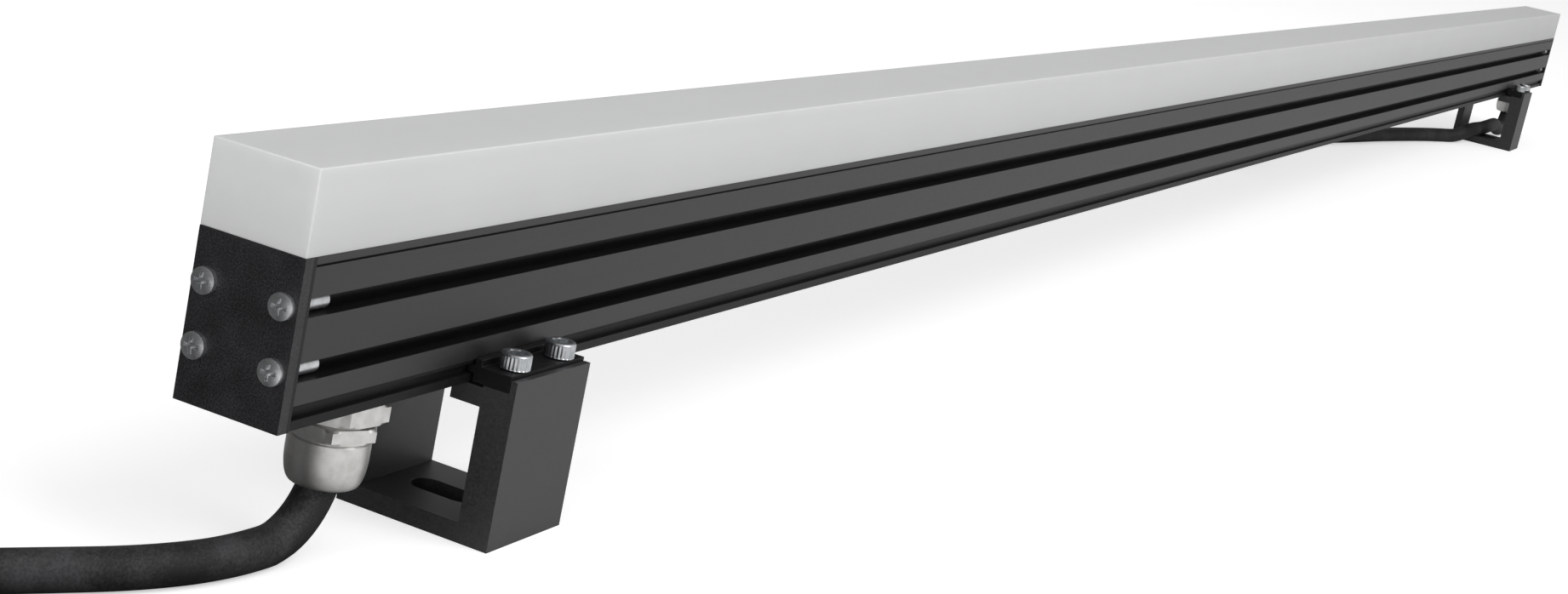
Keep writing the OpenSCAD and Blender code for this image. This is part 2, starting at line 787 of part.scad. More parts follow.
boot_rib_n = 3;
boot_rib_w = boot_len / (2 * boot_rib_n + 2);
boot_rib_r = (shell_r - boot_r) / 3;
module boot() {
    difference() {
        cylinder(r1 = boot_r, r2 = shell_r - fit_gap, h = boot_len);
        for (i = [1:boot_rib_n]) translate([0, 0, 2 * i * boot_rib_w - boot_rib_w / 2]) difference() {
            cylinder(r = shell_r + cut, h = boot_rib_w);
            translate([0, 0, -cut]) cylinder(r = boot_r - boot_rib_r / 2 + i * boot_rib_r, h = boot_rib_w + 2 * cut);
        }
    }
}

// The shell has a collar that the ring turns against, and a bore for the contacts
collar_w = 2.4;
collar_step = 1.6;
collar_r = ring_r - collar_step;
spigot_wall = 1.2;
contact_r = shell_r - spigot_wall;
contact_depth = 12;
grip_len = shell_len - ring_len - collar_w;
module shell() {
    difference() {
        union() {
            cylinder(r = shell_r, h = shell_len);
            translate([0, 0, grip_len]) cylinder(r = collar_r, h = collar_w);
        }
        translate([0, 0, shell_len - contact_depth]) cylinder(r = contact_r, h = contact_depth + cut);
    }
}

pin_r = 0.75;
pin_circle = contact_r / 2;
base_h = 4;
module plug_contacts() {
    color("#d8c48a") at_near_end() at_plug(boot_len + shell_len - contact_depth) union() {
        cylinder(r = contact_r, h = base_h);
        for (a = [0, 120, 240]) rotate(a) translate([pin_circle, 0, base_h - cut / 2])
            cylinder(r = pin_r, h = contact_depth - base_h, $fn = 16);
    }
}

module socket_contacts() {
    color("#202022") at_far_end() at_plug(boot_len + shell_len - contact_depth) difference() {
        cylinder(r = contact_r, h = contact_depth - spigot_wall);
        for (a = [0, 120, 240]) rotate(a) translate([pin_circle, 0, base_h])
            cylinder(r = pin_r + fit_gap, h = contact_depth, $fn = 16);
    }
}

module plug_boot() {
    color("#1a1a1a") at_near_end() at_plug(0) boot();
}

module plug_body() {
    color("#1a1a1a") at_near_end() at_plug(boot_len) shell();
}

// The ring turns on the shell in front of the collar
ring_gap = 0.3;
ring_ribs = 18;
ring_rib_d = 0.6;
module plug_ring() {
    color("#222222") at_near_end() at_plug(boot_len + grip_len + collar_w + ring_gap) difference() {
        cylinder(r = ring_r, h = ring_len);
        translate([0, 0, -cut]) cylinder(r = shell_r + ring_gap, h = ring_len + 2 * cut);
        for (i = [0:ring_ribs - 1]) rotate(360 * i / ring_ribs) translate([ring_r, 0, 2 * ring_rib_d])
            cylinder(r = ring_rib_d, h = ring_len, $fn = 8);
    }
}

module socket_boot() {
    color("#1a1a1a") at_far_end() at_plug(0) boot();
}

// The socket's barrel has turns of thread for the ring, drawn as plain rings
thread_turns = 4;
thread_d = 0.5;
module socket_body() {
    color("#1a1a1a") at_far_end() at_plug(boot_len) union() {
        shell();
        translate([0, 0, grip_len - collar_w]) difference() {
            cylinder(r = ring_r, h = collar_w);
            translate([0, 0, -cut]) cylinder(r = shell_r - cut / 2, h = collar_w + 2 * cut);
        }
        for (i = [1:thread_turns]) translate([0, 0, grip_len + (2 * i + 1) * collar_w / 2]) difference() {
            cylinder(r = shell_r + thread_d, h = collar_w / 2);
            translate([0, 0, -cut]) cylinder(r = shell_r - cut / 2, h = collar_w + 2 * cut);
        }
    }
}

housing();
diffuser();
cover_seals();
near_end_plate();
far_end_plate();
near_end_gasket();
far_end_gasket();
near_end_screws();
far_end_screws();
led_board();
led_chips();
board_screws();
near_terminal();
far_terminal();
near_wires();
far_wires();
near_gland_body();
near_gland_washer();
near_gland_nut();
near_gland_insert();
near_gland_cap();
far_gland_body();
far_gland_washer();
far_gland_nut();
far_gland_insert();
far_gland_cap();
near_lead_entry();
far_lead_entry();
near_bracket();
far_bracket();
near_jaw();
far_jaw();
near_clamp_screws();
far_clamp_screws();
near_lead();
near_coil();
near_tail();
plug_boot();
plug_body();
plug_contacts();
plug_ring();
far_lead();
socket_boot();
socket_body();
socket_contacts();
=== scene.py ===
"""Dresses a slim outdoor wall washer light: housing, milky cover, glands, clamp brackets and leads."""

import functools
import json
import logging
import math
from dataclasses import astuple, dataclass, field
from enum import Enum

import bmesh
import bpy
import numpy as np
from mathutils import Matrix, Vector


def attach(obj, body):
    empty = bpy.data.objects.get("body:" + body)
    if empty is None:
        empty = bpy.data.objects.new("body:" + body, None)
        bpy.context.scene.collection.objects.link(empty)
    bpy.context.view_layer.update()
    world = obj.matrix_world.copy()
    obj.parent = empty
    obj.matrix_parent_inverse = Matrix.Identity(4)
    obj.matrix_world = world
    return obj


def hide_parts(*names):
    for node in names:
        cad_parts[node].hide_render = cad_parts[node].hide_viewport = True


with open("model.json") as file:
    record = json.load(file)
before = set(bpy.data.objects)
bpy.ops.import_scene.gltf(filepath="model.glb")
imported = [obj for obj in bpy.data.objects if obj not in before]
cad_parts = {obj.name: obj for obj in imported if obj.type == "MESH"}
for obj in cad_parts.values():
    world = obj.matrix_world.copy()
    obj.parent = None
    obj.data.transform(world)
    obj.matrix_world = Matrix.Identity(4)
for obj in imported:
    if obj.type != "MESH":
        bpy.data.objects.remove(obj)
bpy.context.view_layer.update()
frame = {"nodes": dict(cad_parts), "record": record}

MM = 0.001
Tree = bpy.types.NodeTree
Socket = bpy.types.NodeSocket
Stops = tuple[tuple[float, str], ...]
Triple = tuple[float, float, float]
log = logging.getLogger("wall_washer")


# Sizes that are shared with the solids, in millimetres


@dataclass(frozen=True)
class Light:
    """The light's own sizes and where its middle line is."""

    gland_x: float = 570.0
    mid_y: float = 3.2
    under_z: float = 28.4
    width: float = 20.0
    housing_height: float = 28.0

    @property
    def seam_z(self) -> float:
        """The height of the line between the housing and the cover."""
        return self.under_z + self.housing_height


LIGHT = Light()


class End(Enum):
    """The two ends of the light: the near one has the plug, the far one the socket."""

    NEAR = -1
    FAR = 1

    @property
    def word(self) -> str:
        """The end's name as the solids use it."""
        return self.name.lower()

    @property
    def gland_x(self) -> float:
        """Where the end's gland stands along the light."""
        return self.value * LIGHT.gland_x


# Colours and nodes

# The Mix node's sockets by number, because several of them share a name
SHARE, FIRST, SECOND = 0, 2, 3
FIRST_COLOUR, SECOND_COLOUR, MIXED_COLOUR = 6, 7, 2
WHITE = (1.0, 1.0, 1.0, 1.0)


def colour(hex_code: str) -> tuple[float, float, float, float]:
    """Turns an sRGB hex colour into the linear colour that a shader reads, by the sRGB standard's curve.

    Args:
        hex_code: Six hex digits, with or without a leading hash.

    Returns:
        Linear red, green and blue, with an alpha of one.
    """
    digits = hex_code.lstrip("#")
    values = np.array([int(digits[i:i + 2], 16) for i in (0, 2, 4)]) / 255
    linear = np.where(values <= 0.04045, values / 12.92, ((values + 0.055) / 1.055) ** 2.4)
    return (*(float(v) for v in linear), 1.0)


def add_node(tree: Tree, kind: str, inputs: dict | None = None, stops: Stops = (),
             **settings) -> bpy.types.Node:
    """Adds a shader node, sets its options, and sets or links its inputs.

    Args:
        tree: The node tree of the material or the world.
        kind: The node's type name without the ShaderNode prefix.
        inputs: Socket name or number, to a value or to an output socket.
        stops: A colour ramp's pairs of place and hex colour, from low to high.
        **settings: Options of the node itself.

    Returns:
        The new node.
    """
    node = tree.nodes.new("ShaderNode" + kind)
    for name, value in settings.items():
        setattr(node, name, value)
    for key, value in (inputs or {}).items():
        if isinstance(value, bpy.types.NodeSocket):
            tree.links.new(value, node.inputs[key])
        else:
            node.inputs[key].default_value = value
    if stops:
        elements = node.color_ramp.elements
        elements[0].position, elements[0].color = stops[0][0], colour(stops[0][1])
        elements[1].position, elements[1].color = stops[-1][0], colour(stops[-1][1])
        for place, code in stops[1:-1]:
            elements.new(place).color = colour(code)
    return node


# Finishes


@dataclass(frozen=True, kw_only=True)
class Finish:
    """A real finish, drawn by procedural nodes on Object coordinates, in metres.

    Its colour goes from dark to light between two places of a pattern, its roughness moves across a spread,
    and its relief has a real depth in millimetres.
    """

    name: str
    dark: str
    light: str
    roughness: float
    tones: tuple[float, float] = (0.3, 0.7)
    spread: tuple[float, float] = (-0.06, 0.06)
    relief_mm: float = 0.02
    relief_strength: float = 0.4

    def grain(self, tree: Tree, size_mm: float, detail: float, stretch: Triple = (1.0, 1.0, 1.0)) -> Socket:
        """Draws a grain of a real size.

        Args:
            tree: The node tree.
            size_mm: The size of a grain, in millimetres.
            detail: How many finer layers are added.
            stretch: How many times longer a grain is along X, Y and Z.

        Returns:
            The pattern's factor socket.
        """
        place = add_node(tree, "TexCoord").outputs["Object"]
        scale = tuple(1.0 / (size_mm * MM * times) for times in stretch)
        grains = add_node(tree, "Mapping", {"Vector": place, "Scale": scale}).outputs["Vector"]
        return add_node(tree, "TexNoise", {"Vector": grains, "Scale": 1.0, "Detail": detail}).outputs["Fac"]

    def shade(self, tree: Tree, shader: bpy.types.Node) -> None:
        """Draws the finish into the shader. Each finish has its own.

        Args:
            tree: The material's node tree.
            shader: Its main shader.
        """
        raise NotImplementedError

    def paint(self, tree: Tree, shader: bpy.types.Node, pattern: Socket) -> None:
        """Colours the shader from dark to light along a pattern.

        Args:
            tree: The material's node tree.
            shader: Its main shader.
            pattern: The factor socket that drives it.
        """
        stops = tuple(zip(self.tones, (self.dark, self.light)))
        shades = add_node(tree, "ValToRGB", {"Fac": pattern}, stops)
        tree.links.new(shades.outputs["Color"], shader.inputs["Base Color"])

    def roughen(self, tree: Tree, shader: bpy.types.Node, pattern: Socket) -> None:
        """Moves the shader's roughness across its spread along a pattern.

        Args:
            tree: The material's node tree.
            shader: Its main shader.
            pattern: The factor socket that drives it.
        """
        low, high = (self.roughness + change for change in self.spread)
        rough = add_node(tree, "MapRange", {"Value": pattern, "To Min": low, "To Max": high})
        tree.links.new(rough.outputs["Result"], shader.inputs["Roughness"])

    def relieve(self, tree: Tree, shader: bpy.types.Node, pattern: Socket) -> None:
        """Gives the shader relief of the finish's own depth, as high as a pattern.

        Args:
            tree: The material's node tree.
            shader: Its main shader.
            pattern: The factor socket that drives it.
        """
        inputs = {"Height": pattern, "Distance": self.relief_mm * MM, "Strength": self.relief_strength}
        relief = add_node(tree, "Bump", inputs)
        tree.links.new(relief.outputs["Normal"], shader.inputs["Normal"])

    @functools.cache
    def make(self) -> bpy.types.Material:
        """Makes the material once, and gives the same one to every piece with this finish.

        Returns:
            The finish as a material.
        """
        material = bpy.data.materials.new(self.name)
        material.use_nodes = True
        self.shade(material.node_tree, material.node_tree.nodes["Principled BSDF"])
        return material


@dataclass(frozen=True, kw_only=True)
class Anodised(Finish):
    """Aluminium, anodised dark: very faint die lines along X and a fine matte grain.

    Where a half width is given, faces that stand back from the sides by the set_back depths, in
    millimetres, get painted shade: their sheen is lowered, as if they lay in the sides' shade.
    """

    dark: str = "#0c0c0d"
    light: str = "#1c1c1e"
    roughness: float = 0.42
    spread: tuple[float, float] = (-0.07, 0.09)
    specular: float = 0.7
    lines: float = 0.3
    line_mm: float = 0.35
    line_stretch: float = 400.0
    grain_mm: float = 0.5
    middle_y: float = 0.0
    half_width: float = 0.0
    set_back: tuple[float, float] = (0.35, 0.15)
    shaded: float = 0.25

    def shade(self, tree: Tree, shader: bpy.types.Node) -> None:
        """Mixes long die lines with a fine grain, under the clear oxide layer's sheen, with painted shade on
        set-back faces.

        Args:
            tree: The material's node tree.
            shader: Its main shader.
        """
        lines = self.grain(tree, self.line_mm, detail=2.0, stretch=(self.line_stretch, 1.0, 1.0))
        grain = self.grain(tree, self.grain_mm, detail=4.0)
        inputs = {SHARE: self.lines, FIRST: grain, SECOND: lines}
        both = add_node(tree, "Mix", inputs, data_type="FLOAT").outputs[0]
        self.paint(tree, shader, both)
        self.roughen(tree, shader, grain)
        shader.inputs["Specular IOR Level"].default_value = self.specular
        # Painted shade: lower sheen on faces that stand back from the sides
        if self.half_width:
            self.shade_set_back(tree, shader)
        self.relieve(tree, shader, both)

    def shade_set_back(self, tree: Tree, shader: bpy.types.Node) -> None:
        """Paints shade by lowering the sheen where a face is nearer to the middle than the sides are.

        Args:
            tree: The material's node tree.
            shader: Its main shader.
        """
        place = add_node(tree, "TexCoord").outputs["Object"]
        across = add_node(tree, "SeparateXYZ", {"Vector": place}).outputs["Y"]
        off = add_node(tree, "Math", {0: across, 1: self.middle_y * MM}, operation="SUBTRACT").outputs[0]
        off = add_node(tree, "Math", {0: off}, operation="ABSOLUTE").outputs[0]
        deep, shallow = ((self.half_width - depth) * MM for depth in self.set_back)
        level = add_node(tree, "MapRange", {"Value": off, "From Min": deep, "From Max": shallow,
                                            "To Min": self.specular * self.shaded, "To Max": self.specular})
        tree.links.new(level.outputs["Result"], shader.inputs["Specular IOR Level"])


@dataclass(frozen=True, kw_only=True)
class PowderCoat(Finish):
    """Fine matte powder coat: a shallow orange peel with light specks."""

    dark: str = "#151516"
    light: str = "#343437"
    roughness: float = 0.45
    tones: tuple[float, float] = (0.42, 0.72)
    spread: tuple[float, float] = (-0.06, 0.08)
    relief_mm: float = 0.03
    relief_strength: float = 0.6
    speck_mm: float = 0.3
    cloud_mm: float = 6.0
    peel_mm: float = 0.6
    cloud_share: float = 0.25

    def shade(self, tree: Tree, shader: bpy.types.Node) -> None:
        """Draws specks on an even coat, over the peel's relief.

        Args:
            tree: The material's node tree.
            shader: Its main shader.
        """
        specks = self.grain(tree, self.speck_mm, detail=2.0)
        cloud = self.grain(tree, self.cloud_mm, detail=3.0)
        inputs = {SHARE: self.cloud_share, FIRST: specks, SECOND: cloud}
        self.paint(tree, shader, add_node(tree, "Mix", inputs, data_type="FLOAT").outputs[0])
        self.roughen(tree, shader, cloud)
        self.relieve(tree, shader, self.grain(tree, self.peel_mm, detail=2.0))


@dataclass(frozen=True, kw_only=True)
class MilkyPolycarbonate(Finish):
    """Milky diffusing polycarbonate, satin outside, with very faint streaks, greyer near the housing by
    painted shade.
    """

    dark: str = "#c6c7c7"
    light: str = "#d5d6d6"
    roughness: float = 0.44
    tones: tuple[float, float] = (0.0, 0.9)
    relief_mm: float = 0.01
    relief_strength: float = 0.3
    streak_mm: float = 3.0
    streak_stretch: float = 60.0
    cloud_mm: float = 18.0
    cloud_share: float = 0.5
    frost_mm: float = 0.25
    # Painted shade: where it begins, how high it reaches, and how the tone rises with height
    grey_z: float = LIGHT.seam_z
    grey_height: float = 9.6
    uneven: float = 0.5
    rise: tuple[float, float] = (-0.1, 0.6)
    specular: float = 0.25
    scatter: float = 0.35
    scatter_mm: float = 4.0

    def shade(self, tree: Tree, shader: bpy.types.Node) -> None:
        """Scatters light under a satin surface, with painted shade that fades with its height above the seam.

        Args:
            tree: The material's node tree.
            shader: Its main shader.
        """
        streaks = self.grain(tree, self.streak_mm, detail=2.0, stretch=(self.streak_stretch, 1.0, 1.0))
        cloud = self.grain(tree, self.cloud_mm, detail=2.0)
        inputs = {SHARE: self.cloud_share, FIRST: streaks, SECOND: cloud}
        both = add_node(tree, "Mix", inputs, data_type="FLOAT").outputs[0]
        uneven = add_node(tree, "MapRange", {"Value": both, "To Max": self.uneven}).outputs["Result"]
        # Painted shade: greyer at the seam, paler with height above it
        place = add_node(tree, "TexCoord").outputs["Object"]
        height = add_node(tree, "SeparateXYZ", {"Vector": place}).outputs["Z"]
        rise = add_node(tree, "MapRange", {"Value": height, "From Min": self.grey_z * MM,
                                           "From Max": (self.grey_z + self.grey_height) * MM,
                                           "To Min": self.rise[0], "To Max": self.rise[1]}).outputs["Result"]
        tone_and_painted_shade = add_node(tree, "Math", {0: uneven, 1: rise}, operation="ADD").outputs[0]
        self.paint(tree, shader, tone_and_painted_shade)
        self.roughen(tree, shader, streaks)
        shader.inputs["Specular IOR Level"].default_value = self.specular
        shader.inputs["Subsurface Weight"].default_value = self.scatter
        shader.inputs["Subsurface Radius"].default_value = (self.scatter_mm * MM,) * 3
        shader.inputs["Subsurface Scale"].default_value = 1.0
        self.relieve(tree, shader, self.grain(tree, self.frost_mm, detail=2.0))


@dataclass(frozen=True, kw_only=True)
class TurnedMetal(Finish):
    """Turned metal, plated or bare: fine tool marks in level layers across Z, and small stains."""

    tones: tuple[float, float] = (0.3, 0.62)
    spread: tuple[float, float] = (0.12, -0.06)
    relief_mm: float = 0.01
    relief_strength: float = 0.35
    mark_mm: float = 0.18
    mark_stretch: float = 60.0
    stain_mm: float = 2.2

    def shade(self, tree: Tree, shader: bpy.types.Node) -> None:
        """Draws tool marks as thin layers, and stains that are rougher where they are dark.

        Args:
            tree: The material's node tree.
            shader: Its main shader.
        """
        along = self.mark_stretch
        marks = self.grain(tree, self.mark_mm, detail=2.0, stretch=(along, along, 1.0))
        stains = self.grain(tree, self.stain_mm, detail=4.0)
        self.paint(tree, shader, stains)
        self.roughen(tree, shader, stains)
        shader.inputs["Metallic"].default_value = 1.0
        self.relieve(tree, shader, marks)


@dataclass(frozen=True, kw_only=True)
class Rubber(Finish):
    """Rubber or soft plastic: matte, with pale scuffs and a fine grain."""

    dark: str = "#0e0e0f"
    light: str = "#3a3a3c"
    roughness: float = 0.7
    tones: tuple[float, float] = (0.46, 0.68)
    spread: tuple[float, float] = (-0.12, 0.12)
    relief_mm: float = 0.03
    patch_mm: float = 9.0
    grain_mm: float = 0.5
    grain_share: float = 0.35

    def shade(self, tree: Tree, shader: bpy.types.Node) -> None:
        """Draws patches of scuffs over the grain.

        Args:
            tree: The material's node tree.
            shader: Its main shader.
        """
        patches = self.grain(tree, self.patch_mm, detail=5.0)
        grain = self.grain(tree, self.grain_mm, detail=3.0)
        inputs = {SHARE: self.grain_share, FIRST: patches, SECOND: grain}
        self.paint(tree, shader, add_node(tree, "Mix", inputs, data_type="FLOAT").outputs[0])
        self.roughen(tree, shader, patches)
        self.relieve(tree, shader, grain)


@dataclass(frozen=True, kw_only=True)
class MouldedPlastic(Finish):
    """Moulded plastic with a fine spark-eroded texture."""

    dark: str = "#1a1a1b"
    light: str = "#262628"
    roughness: float = 0.45
    grain_mm: float = 0.35
    slow_mm: float = 7.0
    slow_share: float = 0.5

    def shade(self, tree: Tree, shader: bpy.types.Node) -> None:
        """Draws the mould's grain and a slow change of tone.

        Args:
            tree: The material's node tree.
            shader: Its main shader.
        """
        grain = self.grain(tree, self.grain_mm, detail=3.0)
        slow = self.grain(tree, self.slow_mm, detail=2.0)
        inputs = {SHARE: self.slow_share, FIRST: grain, SECOND: slow}
        self.paint(tree, shader, add_node(tree, "Mix", inputs, data_type="FLOAT").outputs[0])
        self.roughen(tree, shader, grain)
        self.relieve(tree, shader, grain)


# Housing: extruded and anodised, so it is dark and satin with faint lines along it
# Its grooves and low band carry painted shade: their sheen is lowered
HOUSING = Anodised(name="dark_anodised_extrusion", middle_y=LIGHT.mid_y, half_width=LIGHT.width / 2)
# Brackets: blasted and anodised, so they show a fine speckle and no lines
BRACKET = Anodised(name="blasted_anodised_bracket", dark="#101011", light="#2c2c2e", roughness=0.46,
                   specular=0.9, lines=0.0, grain_mm=0.4)
# Clamp jaws: anodised nearly black
JAW = Anodised(name="black_anodised_jaw", dark="#0a0a0b", light="#131314", roughness=0.5, specular=0.25,
               lines=0.2)
# End plates: powder coated, so they are matte with pale specks
END_PLATE = PowderCoat(name="black_powder_coated_plate")
# Cover: extruded and frosted, so it glows softly and shows no reflections
# Painted shade greys it towards the housing
COVER = MilkyPolycarbonate(name="milky_polycarbonate")
# Glands: brass, turned and nickel plated, so they are pale and a little warm
NICKEL = TurnedMetal(name="nickel_plated_gland", dark="#dad9d6", light="#eeedeb", roughness=0.38)
# Socket cap screws: bare stainless steel, bright and cool
STEEL = TurnedMetal(name="bright_stainless_screw", dark="#b8bbbf", light="#dcdfe1", roughness=0.3,
                    mark_mm=0.12)
# Pan head screws: barrel polished, paler than the socket cap screws
PAN_STEEL = TurnedMetal(name="polished_pan_head", dark="#d3d5d7", light="#f0f2f3", roughness=0.34,
                        mark_mm=0.12)
# Plug contacts: gold plated, so they are yellow and smooth
CONTACT = TurnedMetal(name="plated_contact", dark="#b79c58", light="#e0cc8e", roughness=0.25, mark_mm=0.1)
# Leads: extruded rubber that has lain on the ground, so it is dull with pale scuffs
SHEATH = Rubber(name="black_cable_sheath")
# Seals: moulded rubber, darker and cleaner than the leads
SEAL = Rubber(name="black_seal_rubber", dark="#0c0c0c", light="#1c1c1d", roughness=0.65, grain_mm=0.4)
# Plug and socket: moulded, so they are satin black with a fine texture
CONNECTOR = MouldedPlastic(name="black_connector_plastic")
# Insert of the socket: a plastic a shade paler than its shell
INSERT = MouldedPlastic(name="dark_insert_plastic", dark="#222224", light="#2e2e31", roughness=0.4)
# Terminals, board, light sources and cores: smoother plastics in the colours that are usual for them
TERMINAL = MouldedPlastic(name="white_terminal_plastic", dark="#d9d9d6", light="#efefec", roughness=0.35)
BOARD = MouldedPlastic(name="white_solder_mask", dark="#dcdcd8", light="#f0f0ec", roughness=0.35)
CHIP = MouldedPlastic(name="light_source_phosphor", dark="#d8c46a", light="#efe3a6", roughness=0.3)
CORE = MouldedPlastic(name="red_core_insulation", dark="#6d1717", light="#8e2323", roughness=0.35)

NODE_FINISH: dict[str, Finish] = {
    "cover_seals": SEAL, "near_end_gasket": SEAL, "far_end_gasket": SEAL,
    "led_board": BOARD, "led_chips": CHIP, "board_screws": STEEL,
    "near_terminal": TERMINAL, "far_terminal": TERMINAL, "near_wires": CORE, "far_wires": CORE,
    "near_gland_washer": SEAL, "far_gland_washer": SEAL, "near_gland_insert": SEAL, "far_gland_insert": SEAL,
    "near_gland_nut": NICKEL, "far_gland_nut": NICKEL,
    "near_lead_entry": SHEATH, "far_lead_entry": SHEATH,
    "plug_contacts": CONTACT, "socket_contacts": INSERT,
}


# Surfaces

# Points round a turned piece, on a quarter circle and on half a wave
ROUND_POINTS, QUARTER_POINTS, WAVE_POINTS = 144, 13, 9
# Metres within which points of a new surface, its edges' ends and a solid's points count as one
NEW_MERGE, EDGE_MERGE, SOLID_MERGE = 2e-6, 1e-7, 1e-6
# Degrees below which a solid's faces are joined or smooth, and above which its edges are rounded
JOIN_BELOW, SMOOTH_BELOW, ROUND_ABOVE = 0.5, 30.0, 35.0


@dataclass
class Surface:
    """Points and faces that grow grid by grid, and become one mesh."""

    points: list[np.ndarray] = field(default_factory=list)
    faces: list[np.ndarray] = field(default_factory=list)
    count: int = 0

    def add_grid(self, grid: np.ndarray, wrap_rows: bool) -> None:
        """Adds a grid of points whose columns run round and close on themselves.

        Args:
            grid: Points in an array of rows, columns and three numbers.
            wrap_rows: True if the last row joins the first.
        """
        rows, columns = grid.shape[:2]
        index = np.arange(rows * columns).reshape(rows, columns) + self.count
        if wrap_rows:
            index = np.vstack([index, index[:1]])
        right = np.roll(index, -1, axis=1)
        quads = np.stack([index[:-1], right[:-1], right[1:], index[1:]], axis=-1).reshape(-1, 4)
        self.points.append(grid.reshape(-1, 3))
        self.faces.append(quads)
        self.count += rows * columns

    def make(self, name: str, finish: Finish, smooth_below: float = 35.0) -> bpy.types.Object:
        """Puts the grids into one mesh, closes its poles and turns its faces outwards.

        Args:
            name: The piece's name.
            finish: Its finish.
            smooth_below: Edges with a smaller angle than this, in degrees, are smooth.

        Returns:
            The new object, at the origin.
        """
        mesh = bpy.data.meshes.new(name)
        mesh.from_pydata(np.vstack(self.points).tolist(), [], np.vstack(self.faces).tolist())
        shape = bmesh.new()
        shape.from_mesh(mesh)
        bmesh.ops.remove_doubles(shape, verts=shape.verts, dist=NEW_MERGE)
        bmesh.ops.dissolve_degenerate(shape, edges=shape.edges, dist=EDGE_MERGE)
        bmesh.ops.recalc_face_normals(shape, faces=shape.faces)
        shape.to_mesh(mesh)
        shape.free()
        return finish_piece(mesh, name, finish, smooth_below)


def finish_piece(mesh: bpy.types.Mesh, name: str, finish: Finish, smooth_below: float) -> bpy.types.Object:
    """Links a mesh as an object with its finish, smooth where its faces meet at small angles.

    Args:
        mesh: The piece's mesh, with its place in it.
        name: The piece's name.
        finish: Its finish.
        smooth_below: Edges with a smaller angle than this, in degrees, are smooth.

    Returns:
        The new object, at the origin.
    """
    piece = bpy.data.objects.new(name, mesh)
    bpy.context.scene.collection.objects.link(piece)
    mesh.materials.clear()
    mesh.materials.append(finish.make())
    mesh.shade_smooth()
    mesh.set_sharp_from_angle(angle=math.radians(smooth_below))
    return piece


@dataclass(frozen=True)
class Ring:
    """One ring of a turned piece: its height, its radius, and what cuts it, all in millimetres."""

    z: float
    r: float
    flats: float = 0.0
    flutes: int = 0
    depth: float = 0.0


def rings_along(z: np.ndarray, r: np.ndarray | float, flutes: int = 0,
                depth: np.ndarray | float = 0.0) -> list[Ring]:
    """Makes a ring at each of many heights.

    Args:
        z: The heights, in millimetres.
        r: The radius at each height, or one for all.
        flutes: How many flutes run along the rings.
        depth: The flutes' depth at each height, or one for all.

    Returns:
        The rings, in the order of the heights.
    """
    return [Ring(a, b, 0.0, flutes, c) for a, b, c in np.broadcast(z, r, depth)]


def thread_rings(z: np.ndarray, radius: float, height: float, pitch: float, crest: float = 0.0) -> list[Ring]:
    """Makes the rings of a thread, whose radius falls and rises by a cosine wave.

    Args:
        z: The rings' heights, in millimetres.
        radius: The radius of the crests.
        height: How far the roots lie under the crests.
        pitch: The distance between two crests.
        crest: The height of one crest.

    Returns:
        The rings, in the order of the heights.
    """
    half = height / 2
    return rings_along(z, radius - half + half * np.cos(2 * np.pi * (z - crest) / pitch))


def turned(rings: list[Ring], place: Matrix, turn: float = 0.0, closed: bool = False,
           surface: Surface | None = None) -> Surface:
    """Turns a profile, with flats and flutes.

    At an angle, a ring's radius is the smaller of its round radius and the distance to the nearest flat,
    which is half the width across flats over the cosine of the angle from that flat's middle. Flutes then
    take off half a cosine wave of their depth.

    Args:
        rings: The profile, in order.
        place: Takes the piece's own axes, in metres, to the frame. Its Z is the turning axis.
        turn: The angle of a hexagon's corner, in degrees.
        closed: True if the profile is a loop.
        surface: A surface to add to, or none for a new one.

    Returns:
        The surface with the new grid.
    """
    surface = surface or Surface()
    angle = np.linspace(0, 2 * np.pi, ROUND_POINTS, endpoint=False)
    z, r, flats, flutes, depth = np.array([astuple(ring) for ring in rings], float).T[:, :, None]
    side = np.pi / 3
    from_middle = np.mod(angle, side) - side / 2
    limit = np.where(flats > 0, flats / 2, np.inf) / np.cos(from_middle)
    radius = np.minimum(r, limit) - depth * (0.5 - 0.5 * np.cos(flutes * angle))
    around = angle + math.radians(turn)
    level = np.broadcast_to(z, radius.shape)
    local = np.stack([radius * np.cos(around), radius * np.sin(around), level], axis=-1)
    matrix = np.array(place)
    surface.add_grid(local * MM @ matrix[:3, :3].T + matrix[:3, 3], closed)
    return surface


def tube(path: np.ndarray, radius: float, sides: int) -> Surface:
    """Carries a circle along a path.

    A ring stands square to the path. Its first axis is level, and is found from the path's own level
    direction, which the first rings, where the path is upright, take from the first ring that has one.

    Args:
        path: Points along the middle, in metres.
        radius: The tube's radius, in metres.
        sides: Points round the tube.

    Returns:
        The tube with both ends closed.
    """
    least_level = 0.05
    along = np.gradient(path, axis=0)
    along /= np.linalg.norm(along, axis=1, keepdims=True)
    level = np.stack([along[:, 1], -along[:, 0], np.zeros(len(path))], axis=-1)
    first = int(np.argmax(np.linalg.norm(level, axis=1) > least_level))
    level[:first] = level[first]
    level /= np.linalg.norm(level, axis=1, keepdims=True)
    rise = np.cross(level, along)
    angle = np.linspace(0, 2 * np.pi, sides, endpoint=False)[None, :, None]
    grid = path[:, None] + radius * (np.cos(angle) * level[:, None] + np.sin(angle) * rise[:, None])
    start, end = (np.repeat(point[None, None], sides, axis=1) for point in (path[0], path[-1]))
    surface = Surface()
    surface.add_grid(np.concatenate([start, grid, end]), False)
    return surface


